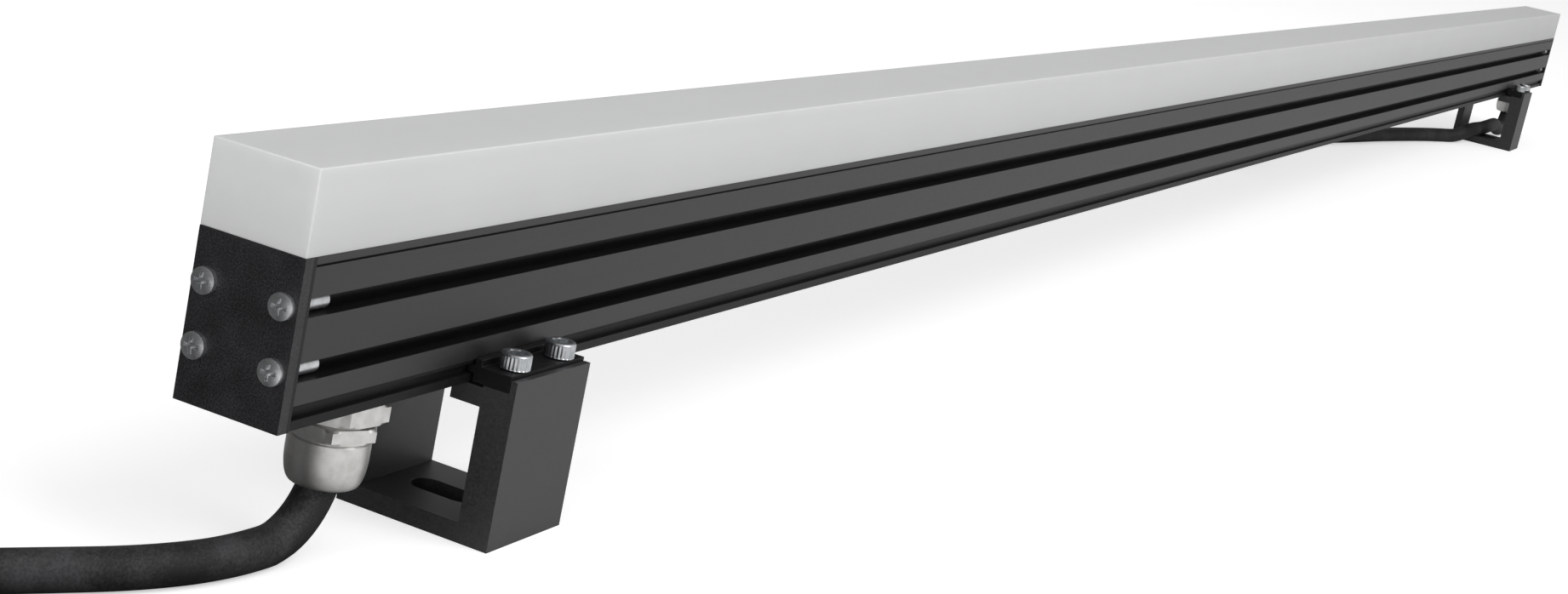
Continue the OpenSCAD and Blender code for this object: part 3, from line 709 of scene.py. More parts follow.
def smooth_path(points: np.ndarray, step: float) -> np.ndarray:
    """Draws a smooth curve through points and spaces new points evenly on it.

    Between two points the curve is the cubic that has, at each of them, the direction from the point before
    to the point after.

    Args:
        points: The points to pass through, in metres.
        step: The distance between new points, in metres.

    Returns:
        The new points.
    """
    parts = 12
    before = np.vstack([2 * points[0] - points[1], points[:-2]])
    after = np.vstack([points[2:], 2 * points[-1] - points[-2]])
    u = np.linspace(0, 1, parts, endpoint=False)[None, :, None]
    a, b, c, d = (q[:, None] for q in (before, points[:-1], points[1:], after))
    curve = 0.5 * (2 * b + (c - a) * u + (2 * a - 5 * b + 4 * c - d) * u**2 + (3 * b - a - 3 * c + d) * u**3)
    curve = np.vstack([curve.reshape(-1, 3), points[-1:]])
    run = np.concatenate([[0], np.cumsum(np.linalg.norm(np.diff(curve, axis=0), axis=1))])
    places = np.linspace(0, run[-1], int(run[-1] / step) + 1)
    return np.stack([np.interp(places, run, curve[:, k]) for k in range(3)], axis=-1)


RECORD = frame["record"]
BODY_OF = {node: body for body, nodes in RECORD["behaviour"]["bodies"].items() for node in nodes}


def stands_for(piece: bpy.types.Object, *nodes: str) -> None:
    """Lets a piece replace solids and ride on their body.

    Args:
        piece: The new piece.
        *nodes: The solids, all on one body.
    """
    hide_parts(*nodes)
    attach(piece, BODY_OF[nodes[0]])
    log.info("piece %s stands for %s", piece.name, ", ".join(nodes))


def eased(node: str, name: str, finish: Finish, width_mm: float, segments: int = 2) -> None:
    """Copies a solid of the frame, merges it, rounds its sharp edges and lets the copy stand for it.

    Args:
        node: The solid's name.
        name: The new piece's name.
        finish: Its finish.
        width_mm: The width of the rounded edges, in millimetres.
        segments: Faces across a rounded edge.
    """
    mesh = frame["nodes"][node].data.copy()
    mesh.name = name
    shape = bmesh.new()
    shape.from_mesh(mesh)
    bmesh.ops.remove_doubles(shape, verts=shape.verts, dist=SOLID_MERGE)
    flat = math.radians(JOIN_BELOW)
    bmesh.ops.dissolve_limit(shape, angle_limit=flat, verts=shape.verts, edges=shape.edges)
    shape.to_mesh(mesh)
    shape.free()
    piece = finish_piece(mesh, name, finish, SMOOTH_BELOW)
    bevel = piece.modifiers.new("eased_edges", "BEVEL")
    bevel.width = width_mm * MM
    bevel.segments = segments
    bevel.limit_method = "ANGLE"
    bevel.angle_limit = math.radians(ROUND_ABOVE)
    bevel.use_clamp_overlap = True
    stands_for(piece, node)


# Camera, floor and light


@dataclass(frozen=True)
class Lamp:
    """A round soft lamp, with its power in watts and its width, place and aim in metres."""

    name: str
    watts: float
    width: float
    place: Triple
    aim: Triple
    mirrored: bool

    def hang(self) -> None:
        """Hangs the lamp at its place, turned to its aim, seen by glossy faces only if it is mirrored."""
        data = bpy.data.lights.new(self.name, "AREA")
        data.shape, data.energy, data.size = "DISK", self.watts, self.width
        lamp = bpy.data.objects.new(self.name, data)
        turn = (Vector(self.aim) - Vector(self.place)).to_track_quat("-Z", "Y").to_matrix()
        lamp.matrix_world = Matrix.Translation(self.place) @ turn.to_4x4()
        lamp.visible_glossy = self.mirrored
        bpy.context.scene.collection.objects.link(lamp)


@dataclass(frozen=True)
class Studio:
    """The camera of the photograph, a pale floor and soft light.

    Reflections and bounced light see painted shade on the floor: a dark card that begins beyond the near end
    and behind the visible side, and fades in between each pair of places, in metres. The camera sees plain
    paper there. The room is brightest over the light's long visible side and dim beyond its near end.
    """

    eye_mm: Triple = (-913.8, -217.3, 149.7)
    azimuth: float = -66.96
    elevation: float = 12.74
    roll: float = 11.86
    lens: float = 58.87
    sensor: float = 36.0
    clip: tuple[float, float] = (0.01, 50.0)
    floor_half: float = 9.0
    paper: Stops = ((0.3, "#e6e6e6"), (0.7, "#e9e9e9"))
    clouds_per_metre: float = 3.0
    glow: float = 0.5
    # Colour and reach of the painted shade on the floor, which every ray but the camera's sees
    card: str = "#646464"
    card_x: tuple[float, float] = (-0.5, -0.57)
    card_y: tuple[float, float] = (-0.026, 0.004)
    bright_side: Triple = (0.42, -0.72, 0.55)
    room: Stops = ((0.0, "#4c4c4c"), (0.35, "#6a6a6a"), (0.7, "#d8d8d8"), (1.0, "#f8f8f8"))
    room_strength: float = 0.74
    lamps: tuple[Lamp, ...] = (
        Lamp("key", 18.5, 1.7, (-0.5, -1.4, 1.6), (-0.45, 0.0, 0.0), True),
        Lamp("end_fill", 37.0, 2.2, (-2.5, 0.1, 0.4), (-0.6, 0.0, 0.05), False),
    )

    def camera(self) -> None:
        """Places the camera at the photograph's eye, turned as the photograph is."""
        data = bpy.data.cameras.new("photo_camera")
        data.lens, data.sensor_width, data.sensor_fit = self.lens, self.sensor, "HORIZONTAL"
        data.clip_start, data.clip_end = self.clip
        camera = bpy.data.objects.new("photo_camera", data)
        a, e = math.radians(self.azimuth), math.radians(self.elevation)
        view = Vector((-math.sin(a) * math.cos(e), math.cos(a) * math.cos(e), -math.sin(e)))
        turn = view.to_track_quat("-Z", "Y").to_matrix() @ Matrix.Rotation(math.radians(self.roll), 3, "Z")
        camera.matrix_world = Matrix.Translation(Vector(self.eye_mm) * MM) @ turn.to_4x4()
        bpy.context.scene.collection.objects.link(camera)
        bpy.context.scene.camera = camera

    def floor(self) -> None:
        """Lays a pale floor that shows white to the camera and keeps the shadows."""
        half = self.floor_half
        corners = [(-half, -half, 0), (half, -half, 0), (half, half, 0), (-half, half, 0)]
        mesh = bpy.data.meshes.new("studio_floor")
        mesh.from_pydata(corners, [], [(0, 1, 2, 3)])
        floor = bpy.data.objects.new("studio_floor", mesh)
        bpy.context.scene.collection.objects.link(floor)
        material = bpy.data.materials.new("pale_studio_floor")
        material.use_nodes = True
        material.node_tree.nodes.clear()
        self.dress_floor(material.node_tree)
        mesh.materials.append(material)

    def dress_floor(self, tree: Tree) -> None:
        """Draws the paper, and the dark card of painted shade that every ray but the camera's sees.

        Args:
            tree: The floor material's empty node tree.
        """
        ray = add_node(tree, "LightPath").outputs["Is Camera Ray"]
        place = add_node(tree, "TexCoord").outputs["Object"]
        cloud = add_node(tree, "TexNoise", {"Vector": place, "Scale": self.clouds_per_metre})
        paper = add_node(tree, "ValToRGB", {"Fac": cloud.outputs["Fac"]}, self.paper).outputs["Color"]
        axes = add_node(tree, "SeparateXYZ", {"Vector": place})
        reach = []
        for axis, (low, high) in (("X", self.card_x), ("Y", self.card_y)):
            inputs = {"Value": axes.outputs[axis], "From Min": low, "From Max": high}
            fade = add_node(tree, "MapRange", inputs, interpolation_type="SMOOTHSTEP")
            reach.append(fade.outputs["Result"])
        # Painted shade: the dark card, seen by every ray but the camera's
        card = add_node(tree, "Math", dict(enumerate(reach)), operation="MULTIPLY").outputs[0]
        inputs = {SHARE: card, FIRST_COLOUR: paper, SECOND_COLOUR: colour(self.card)}
        mirrored = add_node(tree, "Mix", inputs, data_type="RGBA").outputs[MIXED_COLOUR]
        inputs = {SHARE: ray, FIRST_COLOUR: mirrored, SECOND_COLOUR: paper}
        seen = add_node(tree, "Mix", inputs, data_type="RGBA").outputs[MIXED_COLOUR]
        matte = add_node(tree, "BsdfDiffuse", {"Color": seen})
        glow = add_node(tree, "MapRange", {"Value": ray, "To Max": self.glow}).outputs["Result"]
        lit = add_node(tree, "Emission", {"Color": WHITE, "Strength": glow})
        both = add_node(tree, "AddShader", {0: matte.outputs[0], 1: lit.outputs[0]})
        add_node(tree, "OutputMaterial", {"Surface": both.outputs[0]})

    def lights(self) -> None:
        """Puts a plain bright room round the light, and hangs the lamps."""
        world = bpy.data.worlds.new("plain_room")
        bpy.context.scene.world = world
        world.use_nodes = True
        tree = world.node_tree
        tree.nodes.clear()
        ray = add_node(tree, "LightPath").outputs["Is Camera Ray"]
        heading = add_node(tree, "TexCoord").outputs["Generated"]
        side = add_node(tree, "VectorMath", {0: heading, 1: self.bright_side}, operation="DOT_PRODUCT")
        spread = add_node(tree, "MapRange", {"Value": side.outputs["Value"], "From Min": -1.0})
        room = add_node(tree, "ValToRGB", {"Fac": spread.outputs["Result"]}, self.room).outputs["Color"]
        inputs = {SHARE: ray, FIRST_COLOUR: room, SECOND_COLOUR: WHITE}
        seen = add_node(tree, "Mix", inputs, data_type="RGBA").outputs[MIXED_COLOUR]
        strength = add_node(tree, "MapRange", {"Value": ray, "To Min": self.room_strength}).outputs["Result"]
        back = add_node(tree, "Background", {"Color": seen, "Strength": strength})
        add_node(tree, "OutputWorld", {"Surface": back.outputs[0]})
        for lamp in self.lamps:
            lamp.hang()

    def build(self) -> None:
        """Makes the camera, the floor and the lights, and sets a plain view."""
        self.camera()
        self.floor()
        self.lights()
        bpy.context.scene.view_settings.view_transform = "Standard"
        log.info("studio with %d lamps", len(self.lamps))


# Leads


@dataclass(frozen=True)
class Lead:
    """A lead that drops out of its gland and runs along the ground, with or without a coil.

    The laid run is given from the gland's middle, as the height of its underside. Sizes are in millimetres,
    and turned is how far the coil goes round, in degrees.
    """

    end: End
    name: str
    laid: tuple[Triple, ...]
    turned: float
    solids: tuple[str, ...]
    pieces: tuple[str, ...]
    diameter: float = 7.0
    exit_z: float = 17.9
    straight: float = 0.6
    coil_radius: float = 38.5
    coil_step: float = 7.5
    turn_gap: float = 0.6
    tail: float = 36.0
    plug_height: float = 8.5
    path_step: float = 1.5
    sides: int = 20
    smooth_below: float = 60.0

    @property
    def pitch(self) -> float:
        """The distance between the middles of two turns."""
        return self.diameter + self.turn_gap

    @property
    def foot(self) -> np.ndarray:
        """The place on the surface under the gland's middle."""
        return np.array([self.end.gland_x, LIGHT.mid_y, 0.0])

    def level_frame(self, spot: np.ndarray, angle: float) -> np.ndarray:
        """Returns a place on the surface as a matrix in millimetres, its X along a heading in radians."""
        c, s = math.cos(angle), math.sin(angle)
        return np.array([[c, -s, 0, spot[0]], [s, c, 0, spot[1]], [0, 0, 1, 0], [0, 0, 0, 1]])

    def laid_end(self) -> np.ndarray:
        """Finds the end of the laid run.

        Returns:
            The place as a matrix in millimetres, its X along the run.
        """
        before, last = np.array(self.laid[-2:], float)
        step = last - before
        return self.level_frame(last + self.foot, math.atan2(step[1], step[0]))

    def coil_frame(self) -> np.ndarray:
        """The place where the first turn begins, a diameter past the laid run."""
        return self.laid_end() @ self.level_frame(np.array([self.diameter, 0.0]), 0.0)

    def last_frame(self) -> np.ndarray:
        """Finds the place where the tail begins.

        Returns:
            The place as a matrix in millimetres, its X along the tail.
        """
        if not self.turned:
            return self.laid_end()
        start = self.coil_radius + self.pitch / 2
        centre = self.level_frame(np.array([0.0, start]), math.radians(self.turned))
        return self.coil_frame() @ centre @ self.level_frame(np.array([self.diameter, -start]), 0.0)

    def drop(self) -> np.ndarray:
        """Draws the lead's way down: a quarter circle from under the gland to the surface.

        Returns:
            Points from the gland's middle, in millimetres.
        """
        radius = self.exit_z - self.straight - self.diameter / 2
        angle = np.linspace(0, np.pi / 2, QUARTER_POINTS)
        arc = np.stack([-radius * (1 - np.cos(angle)), 0 * angle,
                        self.diameter / 2 + radius * (1 - np.sin(angle))], axis=-1)
        return np.vstack([[[0, 0, self.exit_z]], arc])

    def coil(self) -> np.ndarray:
        """Draws the coil's middle line.

        The radius falls by a pitch over the first half of the turns and grows again over the second. The
        height climbs one pitch, as half a cosine wave, in the half turn where the radius is least.

        Returns:
            Points in the coil's own axes, in millimetres.
        """
        whole = math.radians(self.turned)
        angle = np.linspace(0, whole, int(round(self.turned / self.coil_step)) + 1)
        radius = self.coil_radius - self.pitch / 2 + self.pitch * np.abs(2 * angle / whole - 1)
        climb = np.clip((angle - whole / 2) / np.pi + 0.5, 0, 1)
        height = self.diameter / 2 + self.pitch * (1 - np.cos(np.pi * climb)) / 2
        return np.stack([radius * np.sin(angle), radius[0] - radius * np.cos(angle), height], axis=-1)

    def tail_line(self) -> np.ndarray:
        """Draws the tail's middle line: level, then up or down as half a cosine wave, then level.

        Returns:
            Points in the tail's own axes, in millimetres.
        """
        low = self.diameter / 2 + (self.pitch if self.turned else 0.0)
        u = np.linspace(0, 1, WAVE_POINTS)
        wave = np.stack([self.diameter + (self.tail - 2 * self.diameter) * u, 0 * u,
                         low + (self.plug_height - low) * (1 - np.cos(np.pi * u)) / 2], axis=-1)
        return np.vstack([wave, [[self.tail, 0, self.plug_height]]])

    def path(self) -> np.ndarray:
        """Joins the drop, the laid run, the coil if there is one, and the tail.

        Returns:
            The whole middle line in the frame, in metres.
        """
        laid = np.array(self.laid, float) + [0, 0, self.diameter / 2]
        parts = [self.drop() + self.foot, laid + self.foot]
        lines = [(self.coil(), self.coil_frame())] if self.turned else []
        for line, place in [*lines, (self.tail_line(), self.last_frame())]:
            parts.append(line @ place[:3, :3].T + place[:3, 3])
        return smooth_path(np.vstack(parts) * MM, self.path_step * MM)

    def far_axis(self, distance: float) -> Matrix:
        """Finds the place of a piece on the lead's far end, its Z along the tail.

        Args:
            distance: How far beyond the lead's end the piece begins, in millimetres.

        Returns:
            The place as a matrix in metres.
        """
        place = self.last_frame()
        origin = place[:3, 3] + place[:3, 0] * (self.tail + distance) + [0, 0, self.plug_height]
        matrix = np.eye(4)
        matrix[:3] = np.column_stack([-place[:3, 2], place[:3, 1], place[:3, 0], origin * MM])
        return Matrix(matrix.tolist())

    def build(self) -> None:
        path = self.path()
        piece = tube(path, self.diameter / 2 * MM, self.sides).make(self.name, SHEATH, self.smooth_below)
        stands_for(piece, *self.solids)


INPUT_LEAD = Lead(
    End.NEAR, "input_lead",
    ((-20, 0.4, 0), (-27, 1.7, 0), (-34, 4.1, 0), (-41, 7.4, 0), (-48, 11.5, 0), (-56, 16.4, 0),
     (-63, 20.7, 0), (-70, 24.9, 0), (-77, 29, 0), (-84, 33, 0), (-91, 37, 0), (-98, 41, 0),
     (-105, 45, 0), (-112, 49, 0), (-119, 53, 0)),
    390.0, ("near_lead", "near_coil", "near_tail"),
    ("input_plug_boot", "input_plug_shell", "coupling_ring", "plug_contacts"),
)
OUTPUT_LEAD = Lead(
    End.FAR, "output_lead",
    ((-18, 0, 0), (-23, 0, 0.6), (-28, 0, 1.9), (-33, 0, 3.2), (-38, 0, 3.8), (-50, 0, 3.8), (-62, 0, 3.8),
     (-75, 0.3, 3.8), (-88, 1.6, 3.8), (-94, 2.8, 3.2), (-100, 4.4, 1.9), (-106, 6.3, 0.6), (-112, 8.4, 0),
     (-122, 11.8, 0), (-134, 15.7, 0), (-148, 19.6, 0), (-162, 23.1, 0), (-176, 26.4, 0), (-190, 29.6, 0),
     (-204, 32.4, 0), (-218, 35, 0), (-232, 37.8, 0), (-246, 40.8, 0), (-260, 43.6, 0), (-274, 46, 0),
     (-288, 47.9, 0), (-302, 49.2, 0), (-316, 49.9, 0), (-330, 50, 0), (-338, 50, 0)),
    0.0, ("far_lead",),
    ("output_socket_boot", "output_socket_shell", "socket_contacts"),
)


# Plug and socket


@dataclass(frozen=True)
class Connector:
    """A sealed plug or socket: a ribbed boot, a shell with a collar, and on the plug a coupling ring.

    Sizes are in millimetres. Ease is the width of its smaller broken edges, and chamfer of its larger ones.
    Margins are how far a thread or flutes keep from the two ends, and bands are the ring's plain ends.
    """

    lead: Lead
    is_plug: bool
    ease: float = 0.4
    chamfer: float = 0.5
    boot_length: float = 16.0
    boot_radius: float = 4.4
    boot_step: float = 0.1
    boot_points: int = 81
    groove_from: float = 1.0
    groove_to: float = 13.2
    groove_pitch: float = 4.0
    groove_depth: float = 0.7
    groove_fade: float = 20.0
    shell_radius: float = 6.2
    shell_length: float = 28.0
    grip_flutes: int = 20
    grip_depth: float = 0.35
    grip_from: float = 1.0
    grip_margin: float = 1.5
    grip_rings: int = 16
    collar: float = 2.4
    collar_radius: float = 6.9
    thread_pitch: float = 1.6
    thread_height: float = 0.5
    thread_margins: tuple[float, float] = (0.6, 1.0)
    thread_points: int = 60
    ring_radius: float = 8.5
    ring_length: float = 14.0
    ring_gap: float = 0.3
    ring_flutes: int = 18
    ring_depth: float = 0.6
    ring_margins: tuple[float, float] = (1.8, 1.2)
    ring_bands: tuple[float, float] = (1.2, 0.6)
    ring_mouth: float = 0.3
    ring_rings: int = 12
    bore: float = 5.0
    bore_depth: float = 12.0
    bore_ease: float = 0.2

    @property
    def grip(self) -> float:
        """The length of the shell behind its collar."""
        return self.shell_length - self.ring_length - self.collar

    def add(self, rings: list[Ring], distance: float, name: str, node: str, closed: bool = False) -> None:
        """Turns a profile on the lead's far end and lets it stand for a solid.

        Args:
            rings: The profile, in order.
            distance: How far beyond the lead's end it begins, in millimetres.
            name: The piece's name.
            node: The solid's name.
            closed: True if the profile is a loop.
        """
        stands_for(turned(rings, self.lead.far_axis(distance), closed=closed).make(name, CONNECTOR), node)

    def boot(self) -> list[Ring]:
        """Draws the bend-relief boot.

        Its radius grows evenly, less the upper half of a sine wave for each groove. The grooves' depth
        falls evenly, so they are deepest towards the lead.

        Returns:
            The rings, from the lead on.
        """
        wide = self.shell_radius - self.boot_step
        z = np.linspace(0, self.boot_length, self.boot_points)
        cone = self.boot_radius + (wide - self.boot_radius) * z / self.boot_length
        wave = np.clip(np.sin(2 * np.pi * (z - self.groove_from) / self.groove_pitch), 0, 1)
        grooved = (z > self.groove_from) & (z < self.groove_to)
        r = cone - self.groove_depth * wave * grooved * (1 - z / self.groove_fade)
        return [Ring(0, 0), Ring(0, self.boot_radius - self.ease), *rings_along(z[1:-1], r[1:-1]),
                Ring(self.boot_length, wide), Ring(self.boot_length, 0)]

    def shell(self) -> list[Ring]:
        """Draws the shell: a grip with flutes, a collar, and a barrel with its bore.

        The socket has a rim at the grip's end and a thread on its barrel.

        Returns:
            The rings, from the boot to the bore's floor.
        """
        grip, radius, end, ease = self.grip, self.shell_radius, self.shell_length, self.ease
        z = np.linspace(self.grip_from, grip - self.chamfer, self.grip_rings)
        fluted = (z > self.grip_margin) & (z < grip - self.grip_margin)
        rings = [Ring(0, 0), Ring(0, radius - self.chamfer), Ring(self.chamfer, radius)]
        rings += rings_along(z, radius, self.grip_flutes, self.grip_depth * fluted)
        collar_end = grip + self.collar
        if self.is_plug:
            rings += [Ring(grip, radius), Ring(grip, self.collar_radius - ease),
                      Ring(grip + ease, self.collar_radius)]
        else:
            under_rim = 4
            rim, rim_radius = grip - self.collar, self.ring_radius
            rings = rings[:-under_rim]
            rings += [Ring(rim, radius), Ring(rim, rim_radius - ease), Ring(rim + ease, rim_radius),
                      Ring(grip - ease, rim_radius), Ring(grip, rim_radius - ease),
                      Ring(grip, self.collar_radius)]
        rings += [Ring(collar_end, self.collar_radius), Ring(collar_end, radius)]
        if not self.is_plug:
            first, last = self.thread_margins
            z = np.linspace(collar_end + first, end - last, self.thread_points)
            crest = z[0] + self.thread_pitch / 2
            outer = radius + self.thread_height
            rings += thread_rings(z, outer, self.thread_height, self.thread_pitch, crest)
        floor = end - self.bore_depth
        return rings + [Ring(end - ease, radius), Ring(end, radius - ease),
                        Ring(end, self.bore + self.bore_ease), Ring(end - self.bore_ease, self.bore),
                        Ring(floor, self.bore), Ring(floor, 0)]

    def ring(self) -> list[Ring]:
        """Draws the coupling ring with its grip flutes and a chamfered mouth.

        Returns:
            The rings, as a loop.
        """
        inner, outer, long = self.shell_radius + self.ring_gap, self.ring_radius, self.ring_length
        (back, front), (first, last) = self.ring_bands, self.ring_margins
        fluted = np.linspace(first, long - last, self.ring_rings)
        rings = [Ring(0, inner), Ring(0, outer - self.chamfer), Ring(self.chamfer, outer), Ring(back, outer)]
        rings += rings_along(fluted, outer, self.ring_flutes, self.ring_depth)
        return rings + [Ring(long - front, outer), Ring(long, outer - self.chamfer),
                        Ring(long, inner + self.ring_mouth), Ring(long - self.ease, inner)]

    def build(self) -> None:
        """Makes the connector's pieces."""
        piece, solid = ("input_plug", "plug") if self.is_plug else ("output_socket", "socket")
        self.add(self.boot(), 0, f"{piece}_boot", f"{solid}_boot")
        self.add(self.shell(), self.boot_length, f"{piece}_shell", f"{solid}_body")
        if self.is_plug:
            start = self.boot_length + self.grip + self.collar + self.ring_gap
            self.add(self.ring(), start, "coupling_ring", "plug_ring", closed=True)


# Glands


@dataclass(frozen=True)
class Gland:
    """A nickel-plated cable gland under one end of the light, with its sizes in millimetres.

    Depths are measured down from the housing's underside, and the turns are in degrees. Margins are how far
    the thread keeps from the body's top and from its hexagon.
    """

    end: End
    body_turn: float = 9.0
    cap_turn: float = 24.0
    washer: float = 0.8
    thread_top: float = -6.0
    thread_radius: float = 5.9
    thread_height: float = 0.36
    thread_pitch: float = 1.5
    thread_margins: tuple[float, float] = (0.4, 0.3)
    thread_chamfer: float = 0.5
    thread_points: int = 41
    hex_flats: float = 16.0
    hex_end: float = 4.3
    hex_chamfer: float = 0.45
    corner_cut: float = 0.9
    stub_radius: float = 5.7
    cap_flats: float = 14.4
    cap_top: float = 5.0
    cap_bore: float = 5.8
    cap_end: float = 16.2
    cap_hex: float = 2.6
    cap_chamfer: float = 0.4
    cap_corner_cut: float = 0.8
    groove_radius: float = 6.6
    groove_height: float = 0.4
    cap_radius: float = 7.0
    cap_ease: float = 0.2
    dome_top: float = 11.0
    mouth_radius: float = 5.5
    lip_radius: float = 5.1
    lip_inside: float = 4.98
    lip_depth: float = 0.1
    insert_top: float = 8.5
    insert_end: float = 10.5
    insert_bore: float = 3.8
    insert_radius: float = 5.2
    bore: float = 3.7
    smooth_below: float = 25.0

    def place(self) -> Matrix:
        """The gland's own axes: Z is down from the housing's underside, as depths are given."""
        spot = Vector((self.end.gland_x, LIGHT.mid_y, LIGHT.under_z)) * MM
        return Matrix.Translation(spot) @ Matrix.Diagonal((1.0, -1.0, -1.0, 1.0))

    def add(self, rings: list[Ring], turn: float, part: str, node: str) -> None:
        """Turns a closed profile in the gland's axes and lets it stand for a solid.

        Args:
            rings: The profile, in order.
            turn: The angle of a hexagon's corner, in degrees.
            part: The last word of the piece's name.
            node: The last word of the solid's name.
        """
        surface = turned(rings, self.place(), turn, closed=True)
        piece = surface.make(f"{self.end.word}_gland_{part}", NICKEL, self.smooth_below)
        stands_for(piece, f"{self.end.word}_gland_{node}")

    def body(self) -> None:
        """Turns the body: a thread, a chamfered hexagon and the stub for the cap."""
        flats, corner = self.hex_flats, self.hex_flats / math.sqrt(3)
        first, last = self.thread_margins
        z = np.linspace(self.thread_top + first, self.washer - last, self.thread_points)
        rings = [Ring(self.thread_top, self.bore),
                 Ring(self.thread_top, self.thread_radius - self.thread_chamfer)]
        rings += thread_rings(z, self.thread_radius, self.thread_height, self.thread_pitch)
        rings += [Ring(self.washer, self.thread_radius), Ring(self.washer, corner - self.corner_cut, flats),
                  Ring(self.washer + self.hex_chamfer, corner, flats),
                  Ring(self.hex_end - self.hex_chamfer, corner, flats),
                  Ring(self.hex_end, corner - self.corner_cut, flats), Ring(self.hex_end, self.stub_radius),
                  Ring(self.insert_top, self.stub_radius), Ring(self.insert_top, self.bore)]
        self.add(rings, self.body_turn, "hexagon", "body")

    def cap(self) -> None:
        """Turns the cap: a chamfered hexagon, a fine groove, a round band and a dome with a flared mouth.

        The dome is a quarter of an ellipse from the band to the mouth.
        """
        flats, corner, foot = self.cap_flats, self.cap_flats / math.sqrt(3), self.cap_top + self.cap_hex
        band = foot + self.groove_height
        a = np.linspace(0, np.pi / 2, QUARTER_POINTS)
        dome_r = self.mouth_radius + (self.cap_radius - self.mouth_radius) * np.cos(a)
        dome_z = self.dome_top + (self.cap_end - self.dome_top) * np.sin(a)
        rings = [Ring(self.cap_top, self.cap_bore), Ring(self.cap_top, corner - self.cap_corner_cut, flats),
                 Ring(self.cap_top + self.cap_chamfer, corner, flats),
                 Ring(foot - self.cap_chamfer, corner, flats), Ring(foot, corner - self.corner_cut, flats),
                 Ring(foot, self.groove_radius), Ring(band, self.groove_radius),
                 Ring(band, self.cap_radius - self.cap_ease), Ring(band + self.cap_ease, self.cap_radius)]
        rings += rings_along(dome_z, dome_r)
        rings += [Ring(self.cap_end, self.lip_radius), Ring(self.cap_end - self.lip_depth, self.lip_inside),
                  Ring(self.insert_end, self.insert_bore), Ring(self.insert_end, self.insert_radius),
                  Ring(self.insert_top, self.insert_radius), Ring(self.insert_top, self.cap_bore)]
        self.add(rings, self.cap_turn, "dome", "cap")

    def build(self) -> None:
        """Makes the gland's visible pieces."""
        self.body()
        self.cap()


# Brackets


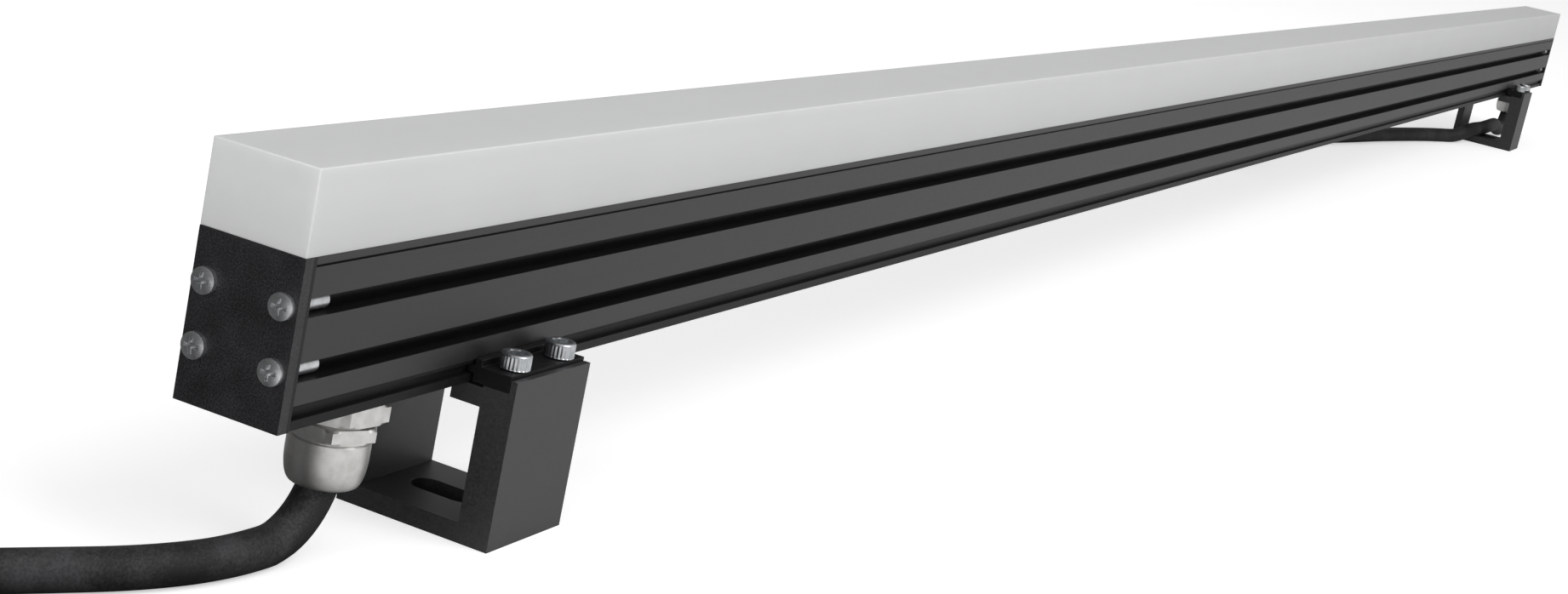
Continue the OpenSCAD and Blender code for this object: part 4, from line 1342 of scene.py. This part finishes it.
@dataclass(frozen=True)
class Bracket:
    """A clamp bracket with its jaw and two socket cap screws, with its sizes in millimetres.

    Each screw's place is its share of half the pitch, and its turn is that of its hexagon, in degrees.
    Margins are how far flutes or a thread keep from the two ends. The middle of the head's rounded edge is
    as far below the top and within the side as its two numbers say, and the lower edge is cut by a height
    and a width.
    """

    end: End
    middle_x: float
    bracket_edge: float = 0.35
    jaw_edge: float = 0.3
    pitch: float = 15.0
    screws_at: tuple[tuple[int, float], ...] = ((-1, 12.0), (1, 41.0))
    screw_y: float = -15.1
    seat_z: float = 3.25
    head_radius: float = 2.75
    head_height: float = 3.0
    head_ease: float = 0.35
    rounded_edge: tuple[float, float] = (0.1, 0.12)
    lower_edge: tuple[float, float] = (0.25, 0.2)
    head_flutes: int = 24
    head_depth: float = 0.14
    head_margins: tuple[float, float] = (0.5, 0.4)
    head_rings: int = 6
    socket_radius: float = 1.5
    socket_mouth: float = 1.7
    socket_chamfer: float = 0.15
    key: float = 2.6
    shank: float = 1.5
    length: float = 12.0
    tip_chamfer: float = 0.5
    thread_pitch: float = 0.5
    thread_height: float = 0.24
    thread_margins: tuple[float, float] = (0.4, 0.6)
    thread_points: int = 90
    smooth_below: float = 25.0

    def profile(self) -> list[Ring]:
        """Draws a cap screw: a fluted head with a hexagon socket, and a shank with a thread.

        Returns:
            The rings, from the socket's floor to the shank's tip, with Z at zero under the head.
        """
        r, h, socket = self.head_radius, self.head_height, self.socket_radius
        (below, within), (height, width) = self.rounded_edge, self.lower_edge
        rings = [Ring(h / 2, 0), Ring(h / 2, socket, self.key),
                 Ring(h - self.socket_chamfer, socket, self.key), Ring(h, self.socket_mouth),
                 Ring(h, r - self.head_ease), Ring(h - below, r - within), Ring(h - self.head_ease, r)]
        first, last = self.head_margins
        fluted = np.linspace(h - first, last, self.head_rings)
        rings += rings_along(fluted, r, self.head_flutes, self.head_depth)
        rings += [Ring(height, r), Ring(0, r - width), Ring(0, self.shank)]
        first, last = self.thread_margins
        z = np.linspace(-first, -self.length + last, self.thread_points)
        rings += thread_rings(z, self.shank, self.thread_height, self.thread_pitch)
        return rings + [Ring(-self.length, self.shank - self.tip_chamfer), Ring(-self.length, 0)]

    def screws(self) -> None:
        """Turns both cap screws into one piece."""
        surface = Surface()
        for side, turn in self.screws_at:
            spot = Vector((self.middle_x + side * self.pitch / 2, LIGHT.mid_y + self.screw_y,
                           LIGHT.under_z + self.seat_z)) * MM
            turned(self.profile(), Matrix.Translation(spot), turn, surface=surface)
        piece = surface.make(f"{self.end.word}_cap_screws", STEEL, self.smooth_below)
        stands_for(piece, f"{self.end.word}_clamp_screws")

    def build(self) -> None:
        """Makes the bracket, its jaw and its screws."""
        word = self.end.word
        eased(f"{word}_bracket", f"{word}_clamp_bracket", BRACKET, self.bracket_edge)
        eased(f"{word}_jaw", f"{word}_clamp_jaw", JAW, self.jaw_edge)
        self.screws()


# Housing


@dataclass(frozen=True)
class Housing:
    """The extruded housing, its cover and its end plates, with the widths of their edges in millimetres."""

    edge: float = 0.25
    cover_edge: float = 0.5
    plate_edge: float = 0.25
    screw_edge: float = 0.08

    def build(self) -> None:
        """Eases the edges of the long pieces, of the plates and of their screws."""
        eased("housing", "extruded_housing", HOUSING, self.edge)
        eased("diffuser", "milky_cover", COVER, self.cover_edge, segments=3)
        for end in End:
            eased(f"{end.word}_end_plate", f"{end.word}_cover_plate", END_PLATE, self.plate_edge)
            eased(f"{end.word}_end_screws", f"{end.word}_pan_screws", PAN_STEEL, self.screw_edge)


def dress_nodes() -> None:
    """Gives each solid that stays its own finish."""
    for node, finish in NODE_FINISH.items():
        materials = frame["nodes"][node].data.materials
        materials.clear()
        materials.append(finish.make())
        log.info("solid %s keeps its shape, in %s", node, finish.name)


def main() -> None:
    """Builds the scene in order."""
    logging.basicConfig(level=logging.INFO, format="%(message)s")
    Studio().build()
    Connector(INPUT_LEAD, is_plug=True).build()
    Connector(OUTPUT_LEAD, is_plug=False).build()
    INPUT_LEAD.build()
    OUTPUT_LEAD.build()
    for end in End:
        Gland(end).build()
    Bracket(End.NEAR, middle_x=-532.5).build()
    Bracket(End.FAR, middle_x=497.5).build()
    Housing().build()
    dress_nodes()


if __name__ == "__main__":
    main()
